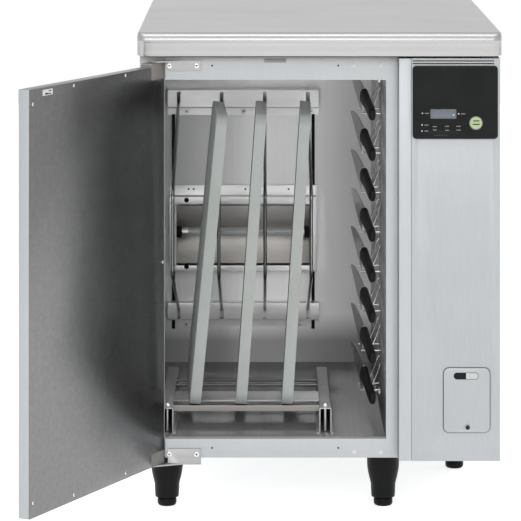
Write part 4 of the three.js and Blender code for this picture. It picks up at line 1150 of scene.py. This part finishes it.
def leg_and_foot(i):
    """A moulded leg, hollow below its cap, and the foot that screws into it."""
    low, high = span(f"leg_{i}")
    centre = ((low.x + high.x) / 2, (low.y + high.y) / 2)
    profile = [(LEG_BORE, high.z - LEG_CAP), (LEG_BORE, low.z)]
    profile += [(radius, z) for radius, z in LEG_PROFILE if z > low.z]
    profile += [(LEG_PROFILE[-1][0], high.z)]
    leg = dressed(turned(f"leg_{i}_finish", centre, profile), BLACK)
    fitted(leg, "cabinet", [f"leg_{i}"])
    stem_top = span(f"adjuster_{i}")[1].z
    profile = FOOT_PROFILE + [(FOOT_STEM, FOOT_PROFILE[-1][1]), (FOOT_STEM, stem_top)]
    foot = dressed(turned(f"adjuster_{i}_finish", centre, profile), BLACK)
    fitted(foot, f"adjuster_{i}", [f"adjuster_{i}"])


# Racks

def divider_rack():
    """Two bent brackets on the back wall, two stays between them and four bows that part the boards."""
    low, high = span("divider_rack")
    wall = high.y
    face = wall - RACK_STAND
    half = RACK_SHEET / 2

    def bracket(name, top, front, slot_low):
        """A bracket with a slot for each bow."""
        below = top - front + half
        line = [(wall - half, top - half), (face + half, top - half), (face + half, below),
                (wall - half, below), (wall - half, top - front - RACK_FOOT)]
        sheet = dressed(sheet_along_x(name, line, RACK_SHEET, RACK_BEND, low.x, high.x), SATIN)
        slots = [block("slot", (x - SLOT_WIDTH / 2, face - SHEET, slot_low),
                       (x + SLOT_WIDTH / 2, face + SHEET * 2, slot_low + SLOT_LENGTH), 0) for x in BOW_PLACES]
        return dressed(pierced(sheet, slots), SATIN)

    upper = bracket("upper_rack_bracket", UPPER_BRACKET_TOP, UPPER_BRACKET_FRONT, BOW_TOP)
    lower = bracket("lower_rack_bracket", LOWER_BRACKET_TOP, LOWER_BRACKET_FRONT, BOW_FOOT - SLOT_LENGTH)
    stay_foot = LOWER_BRACKET_TOP - LOWER_BRACKET_FRONT - STAY_TAIL
    stay_head = UPPER_BRACKET_TOP - UPPER_BRACKET_FRONT - RACK_FOOT + RACK_SHEET
    stays = [block("stay", (x - RACK_STAY / 2, wall - RACK_SHEET * 2, stay_foot),
                   (x + RACK_STAY / 2, wall, stay_head))
             for x in (low.x + BOW_MARGIN / 2, high.x - BOW_MARGIN / 2)]
    bars = [dressed(stay, BLACK) for stay in stays]
    weld = face + half
    reach = low.y + BOW_WIRE
    lines = [[(x, weld, BOW_TOP), (x, reach, BOW_SHOULDER), (x, reach, BOW_KNEE), (x, weld, BOW_FOOT)]
             for x in BOW_PLACES]
    # The bows take the darker copy of the polished steel: painted shade
    bows = bent_wires("divider_bows", lines, BOW_WIRE, BOW_BEND, SHADED_POLISHED)
    whole = joined("divider_rack_finish", [upper, lower, *bars, bows])
    fitted(whole, "cabinet", ["divider_rack"])
    screws("rack_foot_screws", on_front(wall - RACK_SHEET, FOOT_SCREWS), "cabinet")


def uv_lamp():
    """A glass tube with a metal cap and two pins at each end."""
    low, high = span("uv_lamp")
    centre = (low + high) / 2
    radius = (high.z - low.z) / 2
    tube_low, tube_high = low.x + LAMP_PIN, high.x - LAMP_PIN

    def tube(name, profile, material, y=centre.y, z=centre.z):
        """A round piece along x, from pairs of radius and x."""
        rings = [[(x, y + a * r, z + b * r) for a, b in circle(1)] for r, x in profile]
        return dressed(smooth(lofted(name, rings)), material)

    glass = tube("lamp_tube", [(radius, tube_low + LAMP_CAP), (radius, tube_high - LAMP_CAP)], GLASS)
    caps = [tube("lamp_cap", [(radius, a), (radius, b)], SATIN)
            for a, b in ((tube_low, tube_low + LAMP_CAP), (tube_high - LAMP_CAP, tube_high))]
    pins = [tube("lamp_pin", [(LAMP_PIN_RADIUS, a), (LAMP_PIN_RADIUS, b)], SATIN, z=centre.z + up)
            for a, b in ((low.x, tube_low + SHEET), (tube_high - SHEET, high.x))
            for up in (-LAMP_PIN_GAP / 2, LAMP_PIN_GAP / 2)]
    whole = joined("uv_lamp_finish", [glass, *caps, *pins])
    fitted(whole, "cabinet", ["uv_lamp"])


def lamp_unit():
    """The lamp's frame, reflector, sockets and tube, and the screws that hold them to the back wall."""
    softened("lamp_frame", FITTING_EDGE, SATIN)
    softened("lamp_reflector", FINE_EDGE, REFLECTOR)
    softened("lamp_socket_left", MOULDED_EDGE, BLACK)
    softened("lamp_socket_right", MOULDED_EDGE, BLACK)
    uv_lamp()
    frame_front, wall = (corner.y for corner in span("lamp_frame"))
    plugs("lamp_plate_screws", on_front(wall - LAMP_PLATE_SHEET, LAMP_PLATE_SCREWS), "cabinet",
          DARK, LAMP_PLATE_SCREW, LAMP_PLATE_RISE)
    screws("lamp_screws", on_front(frame_front, LAMP_SCREWS), "cabinet", BLACK, PANEL_BLACK,
           LAMP_SCREW, LAMP_SCREW_RISE)


def rack_channel(x, floor, y0, y1):
    """A folded channel with a flange at each side, open below."""
    top = RACK_CHANNEL_TOP
    half = RACK_SHEET / 2
    flange = floor + half
    left, right = x + half, x + RACK_CHANNEL_WIDTH - half
    line = [(x - RACK_CHANNEL_FOOT, flange), (left, flange), (left, top - half), (right, top - half),
            (right, flange), (x + RACK_CHANNEL_WIDTH + RACK_CHANNEL_FOOT, flange)]
    return dressed(sheet_along_y("channel", line, RACK_SHEET, RACK_BEND, y0, y1), CHANNEL_STEEL)


def rack_knob(x, floor, y0):
    """A ball on a stem, at the front end of a channel."""
    centre = (x + RACK_CHANNEL_WIDTH / 2, y0 + KNOB_FRONT)
    ball = [(KNOB_RADIUS * math.sin(a), RACK_CHANNEL_TOP + KNOB_RISE - KNOB_RADIUS * math.cos(a))
            for a in (math.pi * i / KNOB_STEPS for i in range(1, KNOB_STEPS))]
    stem = [(KNOB_STEM, floor + RACK_SHEET), (KNOB_STEM, ball[0][1])]
    return dressed(turned("knob", centre, stem + ball, KNOB_SIDES), SATIN)


def board_rack():
    """Two channels with a bar, a plate and two rods between them, and a knob on each."""
    low = span("board_rack")[0]
    top = RACK_CHANNEL_TOP
    half = RACK_SHEET / 2
    y0, y1 = low.y, low.y + RACK_CHANNEL_LENGTH
    pieces = [rack_channel(x, low.z, y0, y1) for x in RACK_CHANNELS]
    x0, x1 = RACK_CHANNELS[0] + RACK_CHANNEL_WIDTH - half, RACK_CHANNELS[1] + half
    front, back = y0 + RACK_BAR_BACK + half, y0 + RACK_BAR_BACK + RACK_BAR_DEPTH - half
    line = [(front, top - RACK_BAR_HEIGHT), (front, top - half), (back, top - half),
            (back, top - RACK_BAR_HEIGHT)]
    pieces.append(dressed(sheet_along_x("bar", line, RACK_SHEET, RACK_SHEET, x0, x1), BAR_STEEL))
    plate = y0 + RACK_PLATE_FRONT
    plate_top = top - RACK_PLATE_DROP
    pieces.append(dressed(block("plate", (x0, plate, plate_top - RACK_SHEET),
                                (x1, plate + RACK_PLATE_DEPTH, plate_top)), SATIN))
    rods = [[(x0, y0 + y, top - ROD_DROP), (x1, y0 + y, top - ROD_DROP)] for y in RACK_RODS]
    pieces.append(bent_wires("rods", rods, ROD, 0, BAR_STEEL))
    pieces += [rack_knob(x, low.z, y0) for x in RACK_CHANNELS]
    fitted(joined("board_rack_finish", pieces), "cabinet", ["board_rack"])


def knife_place(i):
    """The matrix that lays a knife in its hooks."""
    place = KNIFE_FIRST - Vector((0, 0, KNIFE_PITCH * i))
    turn = (Matrix.Rotation(KNIFE_YAW, 4, "Z") @ Matrix.Rotation(KNIFE_RISE, 4, "X") @
            Matrix.Rotation(KNIFE_ROLL, 4, "Y"))
    return Matrix.Translation(place) @ turn


def knife_rack():
    """Two upright strips on the side wall, each with two hooks for every knife, and the ties between them."""
    wall = span("knife_rack")[1].x
    pieces = []
    ends = []
    for y in HOOK_STATIONS:
        first = KNIFE_FIRST.z + math.tan(KNIFE_RISE) * (y - KNIFE_FIRST.y)
        last = first - KNIFE_PITCH * (KNIFE_COUNT - 1)
        strip = block("strip", (wall - STRIP_SHEET, y - STRIP_WIDTH / 2, last - HOOK_DROP - STRIP_MARGIN),
                      (wall, y + STRIP_WIDTH / 2, first + HOOK_RISE + STRIP_MARGIN))
        pieces.append(dressed(strip, BAR_STEEL))
        blade = KNIFE_FIRST.x - math.tan(KNIFE_YAW) * (y - KNIFE_FIRST.y)
        root = wall - STRIP_SHEET / 2
        lines = []
        for i in range(KNIFE_COUNT):
            high, low = first - KNIFE_PITCH * i + HOOK_RISE, first - KNIFE_PITCH * i - HOOK_DROP
            lines.append([(root, y, high), (blade + HOOK_TOP_REACH, y, high),
                          (blade + HOOK_LOW_REACH, y, low)])
            lines.append([(root, y, low), (blade - HOOK_END, y, low)])
        pieces.append(bent_wires("hooks", lines, HOOK_WIRE, HOOK_BEND, POLISHED))
        ends.append((first + HOOK_RISE + HOOK_THROAT, last - HOOK_DROP - HOOK_THROAT))
    tie_x = wall - TIE_RADIUS - TIE_GAP
    ties = [[(tie_x, HOOK_STATIONS[0], z), (tie_x, HOOK_STATIONS[1], z)] for z in (ends[0][0], ends[1][1])]
    pieces.append(bent_wires("ties", ties, TIE_RADIUS, 0, POLISHED))
    fitted(joined("knife_rack_finish", pieces), "cabinet", ["knife_rack"])


# Knives and boards

def handle_ring(half_x, half_z, y, centre):
    """A section of the handle: an oval with flattened sides."""
    ring = []
    for i in range(HANDLE_SIDES):
        angle = 2 * math.pi * (i + 0.5) / HANDLE_SIDES
        across, up = math.cos(angle), math.sin(angle)
        x = half_x * math.copysign(abs(across) ** (2 / HANDLE_SQUARENESS), across)
        z = half_z * math.copysign(abs(up) ** (2 / HANDLE_SQUARENESS), up)
        ring.append((x, y, centre + z))
    return ring


def knife_handle():
    """A waisted handle that tapers to a closed butt."""
    rings = []
    for share in HANDLE_SHARES:
        taper = BUTT_TAPER_SHARE * (1 - share) ** BUTT_TAPER_POWER
        belly = 1 - HANDLE_WAIST_SHARE * math.sin(math.pi * share) - taper
        size = belly * BUTT_CLOSING_SHARES.get(share, 1) * HANDLE_FIT_SHARE
        centre = -BUTT_DROP * (1 - share) ** 2
        half_x, half_z = HANDLE_THICKNESS / 2 * size, HANDLE_HEIGHT / 2 * size
        rings.append(handle_ring(half_x, half_z, share * HANDLE_LENGTH, centre))
    return dressed(smooth(lofted("handle", rings), EDGED_ANGLE), HANDLE)


def knife_blade(spine):
    """A blade that thins from its spine, with a ground bevel and a tip that curves up."""
    def half_width(z, edge=BLADE_BEVEL_WIDTH):
        """Half the blade's thickness at a height, for a blade that is this thick at its edge."""
        share = (z - spine + BLADE_HEIGHT) / BLADE_HEIGHT
        return (edge + (BLADE_SPINE - edge) * share) / 2

    rings = []
    for i in range(BLADE_STEPS + 1):
        share = i / BLADE_STEPS
        y = HANDLE_LENGTH + BOLSTER_LENGTH / 2 + share * BLADE_LENGTH
        top = spine - BLADE_HEIGHT * TIP_DROP_SHARE * share ** TIP_DROP_POWER
        belly = spine - BLADE_HEIGHT + BLADE_HEIGHT * TIP_RISE_SHARE * share ** TIP_RISE_POWER
        bottom = min(belly, top - BLADE_EDGE)
        ground = min(bottom + BLADE_BEVEL, (top + bottom) / 2)
        a, b, c = half_width(top), half_width(ground), half_width(bottom, BLADE_EDGE)
        rings.append([(a, y, top), (b, y, ground), (c, y, bottom),
                      (-c, y, bottom), (-b, y, ground), (-a, y, top)])
    return dressed(smooth(lofted("blade", rings), BLADE_ANGLE), BLADE)


def knife_bolster(spine):
    """The collar between handle and blade."""
    half = BOLSTER_THICKNESS / 2
    top = spine + BOLSTER_RISE
    low = (-half, HANDLE_LENGTH - BOLSTER_LENGTH / 2, top - BOLSTER_HEIGHT)
    high = (half, HANDLE_LENGTH + BOLSTER_LENGTH, top)
    return dressed(block("bolster", low, high, BOLSTER_EDGE, BOLSTER_EDGE_STEPS), SATIN)


def knife(i):
    """A knife, made with its butt at the origin and laid in its hooks."""
    spine = HANDLE_HEIGHT / 2 - SPINE_DROP
    whole = joined(f"knife_{i + 1}_finish", [knife_handle(), knife_blade(spine), knife_bolster(spine)])
    whole.data.transform(knife_place(i))
    fitted(whole, f"knife_{i + 1}", [f"knife_{i + 1}"])


# Door

def door():
    """The open door. Its screws and label are placed as on a shut door whose hinge line is at the origin."""
    # The door skin's faces that look up take the darker copy: painted shade
    by_facing(softened("door_skin", FITTING_EDGE, COATED), COATED, DOOR_TOP_SHADE)
    softened("door_liner", PLATE_EDGE, DOOR_STEEL)
    softened("door_cap_top", CAP_EDGE, CAP_PLASTIC)
    softened("door_cap_bottom", CAP_EDGE, CAP_PLASTIC)
    softened("door_grip", FITTING_EDGE, GREY_PLASTIC)
    opened = Matrix.Translation(DOOR_PIVOT) @ Matrix.Rotation(-DOOR_TURN, 4, "Z")
    inward = opened.to_3x3() @ Vector((0, 1, 0))
    places = [(opened @ Vector((x, DOOR_HALF, z)), inward) for x, z in DOOR_SCREWS]
    screws("door_screws", places, "door", radius=DOOR_SCREW, rise=DOOR_SCREW_RISE)
    door_label(opened)


def door_label(opened):
    """A small white plate with three dashes, on the door's inside."""
    x0, x1, z0, z1 = DOOR_LABEL
    back, front = DOOR_HALF, DOOR_HALF + PROUD
    label = dressed(block("label", (x0, back, z0), (x1, front, z1), 0), WHITE)
    marks = [dressed(block("mark", (a, front, z - STROKE / 2), (b, front + PROUD, z + STROKE / 2), 0), DARK)
             for a, b, z in DOOR_LABEL_STROKES]
    whole = joined("door_label", [label, *marks])
    whole.data.transform(opened)
    fitted(whole, "door")


def hinges():
    """The plates that carry the door, above and below."""
    for side in ("top", "bottom"):
        softened(f"hinge_bracket_{side}", FITTING_EDGE, HINGE_STEEL)


# Stage

def stage_floor():
    """A pale floor that keeps the shadow and looks near white to the camera and in the steel."""
    paint = Paint("floor")
    seen = paint.node("ShaderNodeLightPath", output="Is Camera Ray")
    mirrored = paint.node("ShaderNodeLightPath", output="Is Glossy Ray")
    shader = paint.node("ShaderNodeBsdfDiffuse", None, {"Color": grey(FLOOR_TONE)})
    glow = {"Color": grey(1), "Strength": seen * FLOOR_LIFT + mirrored * FLOOR_GLOSS}
    lift = paint.node("ShaderNodeEmission", None, glow)
    both = paint.node("ShaderNodeAddShader", None, {0: shader, 1: lift})
    paint.node("ShaderNodeOutputMaterial", None, {"Surface": both})
    dressed(block("floor", FLOOR_LOW, FLOOR_HIGH, 0), paint.material)


def world():
    """White to the camera and in steel and glass; soft light that is a little stronger at the back."""
    made = bpy.data.worlds.new("studio")
    made.use_nodes = True
    bpy.context.scene.world = made
    sky = Nodes(made.node_tree)
    seen = sky.node("ShaderNodeLightPath", output="Is Camera Ray")
    mirrored = sky.node("ShaderNodeLightPath", output="Is Glossy Ray")
    through = sky.node("ShaderNodeLightPath", output="Is Transmission Ray")
    heading = sky.node("ShaderNodeTexCoord", output="Generated")
    backward = sky.node("ShaderNodeSeparateXYZ", None, {"Vector": heading}, output="Y")
    studio = backward.between(*WORLD_TURN) * (WORLD_BACK - WORLD_FRONT) + WORLD_FRONT
    white = seen + through + mirrored
    strength = sky.node("ShaderNodeMix", {"data_type": "FLOAT"}, {0: white, 2: studio, 3: 1.0})
    back = sky.node("ShaderNodeBackground", None, {"Color": grey(1), "Strength": strength})
    sky.node("ShaderNodeOutputWorld", None, {"Surface": back})


def lamp(name, place, target, size, watts):
    """A soft rectangular lamp that looks at its target."""
    data = bpy.data.lights.new(name, "AREA")
    data.shape = "RECTANGLE"
    data.size, data.size_y = size
    data.energy = watts
    obj = bpy.data.objects.new(name, data)
    bpy.context.scene.collection.objects.link(obj)
    obj.location = place
    obj.rotation_euler = (Vector(target) - Vector(place)).to_track_quat("-Z", "Y").to_euler()


def camera():
    """A level camera whose lens is lowered, so that uprights stay parallel as in the photograph.

    The lowered lens is a shear that the camera's parent gives it. A lens shift would give the same picture,
    but it would stay on when the camera moves round the object, and push the object out of those views.
    """
    fall = (PHOTO_SIDE / 2 - HORIZON_ROW) / FOCAL_PIXELS
    data = bpy.data.cameras.new("camera")
    data.sensor_width = SENSOR
    data.lens = FOCAL_PIXELS / PHOTO_SIDE * SENSOR * math.hypot(1, fall)
    obj = bpy.data.objects.new("camera", data)
    stand = bpy.data.objects.new("camera_stand", None)
    for item in (stand, obj):
        bpy.context.scene.collection.objects.link(item)
    obj.location = CAMERA_PLACE
    obj.rotation_euler = (math.pi / 2, 0, 0)
    place = Matrix.Translation(CAMERA_PLACE)
    lowered = Matrix(((1, 0, 0, 0), (0, 1, 0, 0), (0, -fall, 1, 0), (0, 0, 0, 1)))
    obj.parent = stand
    obj.matrix_parent_inverse = place @ lowered @ place.inverted()
    bpy.context.scene.camera = obj


worktop_pan()
worktop_core()
body_shells()
rail_fasteners()
controls()
for number in range(1, 6):
    leg_and_foot(number)
divider_rack()
lamp_unit()
board_rack()
knife_rack()
for number in range(KNIFE_COUNT):
    knife(number)
for number in range(1, 4):
    softened(f"board_{number}", BOARD_EDGE, BOARD, BOARD_EDGE_STEPS)
door()
hinges()
for node, material in (("insulation", FOAM), ("control_board", CIRCUIT), ("fan_housing", GREY_PLASTIC),
                       ("fan_wheel", BLACK), ("lamp_ballast", GREY_PLASTIC), ("door_core", FOAM)):
    dressed(frame["nodes"][node], material)
stage_floor()
world()
for name, settings in LAMPS.items():
    lamp(name, **settings)
camera()
bpy.context.scene.view_settings.view_transform = "Standard"
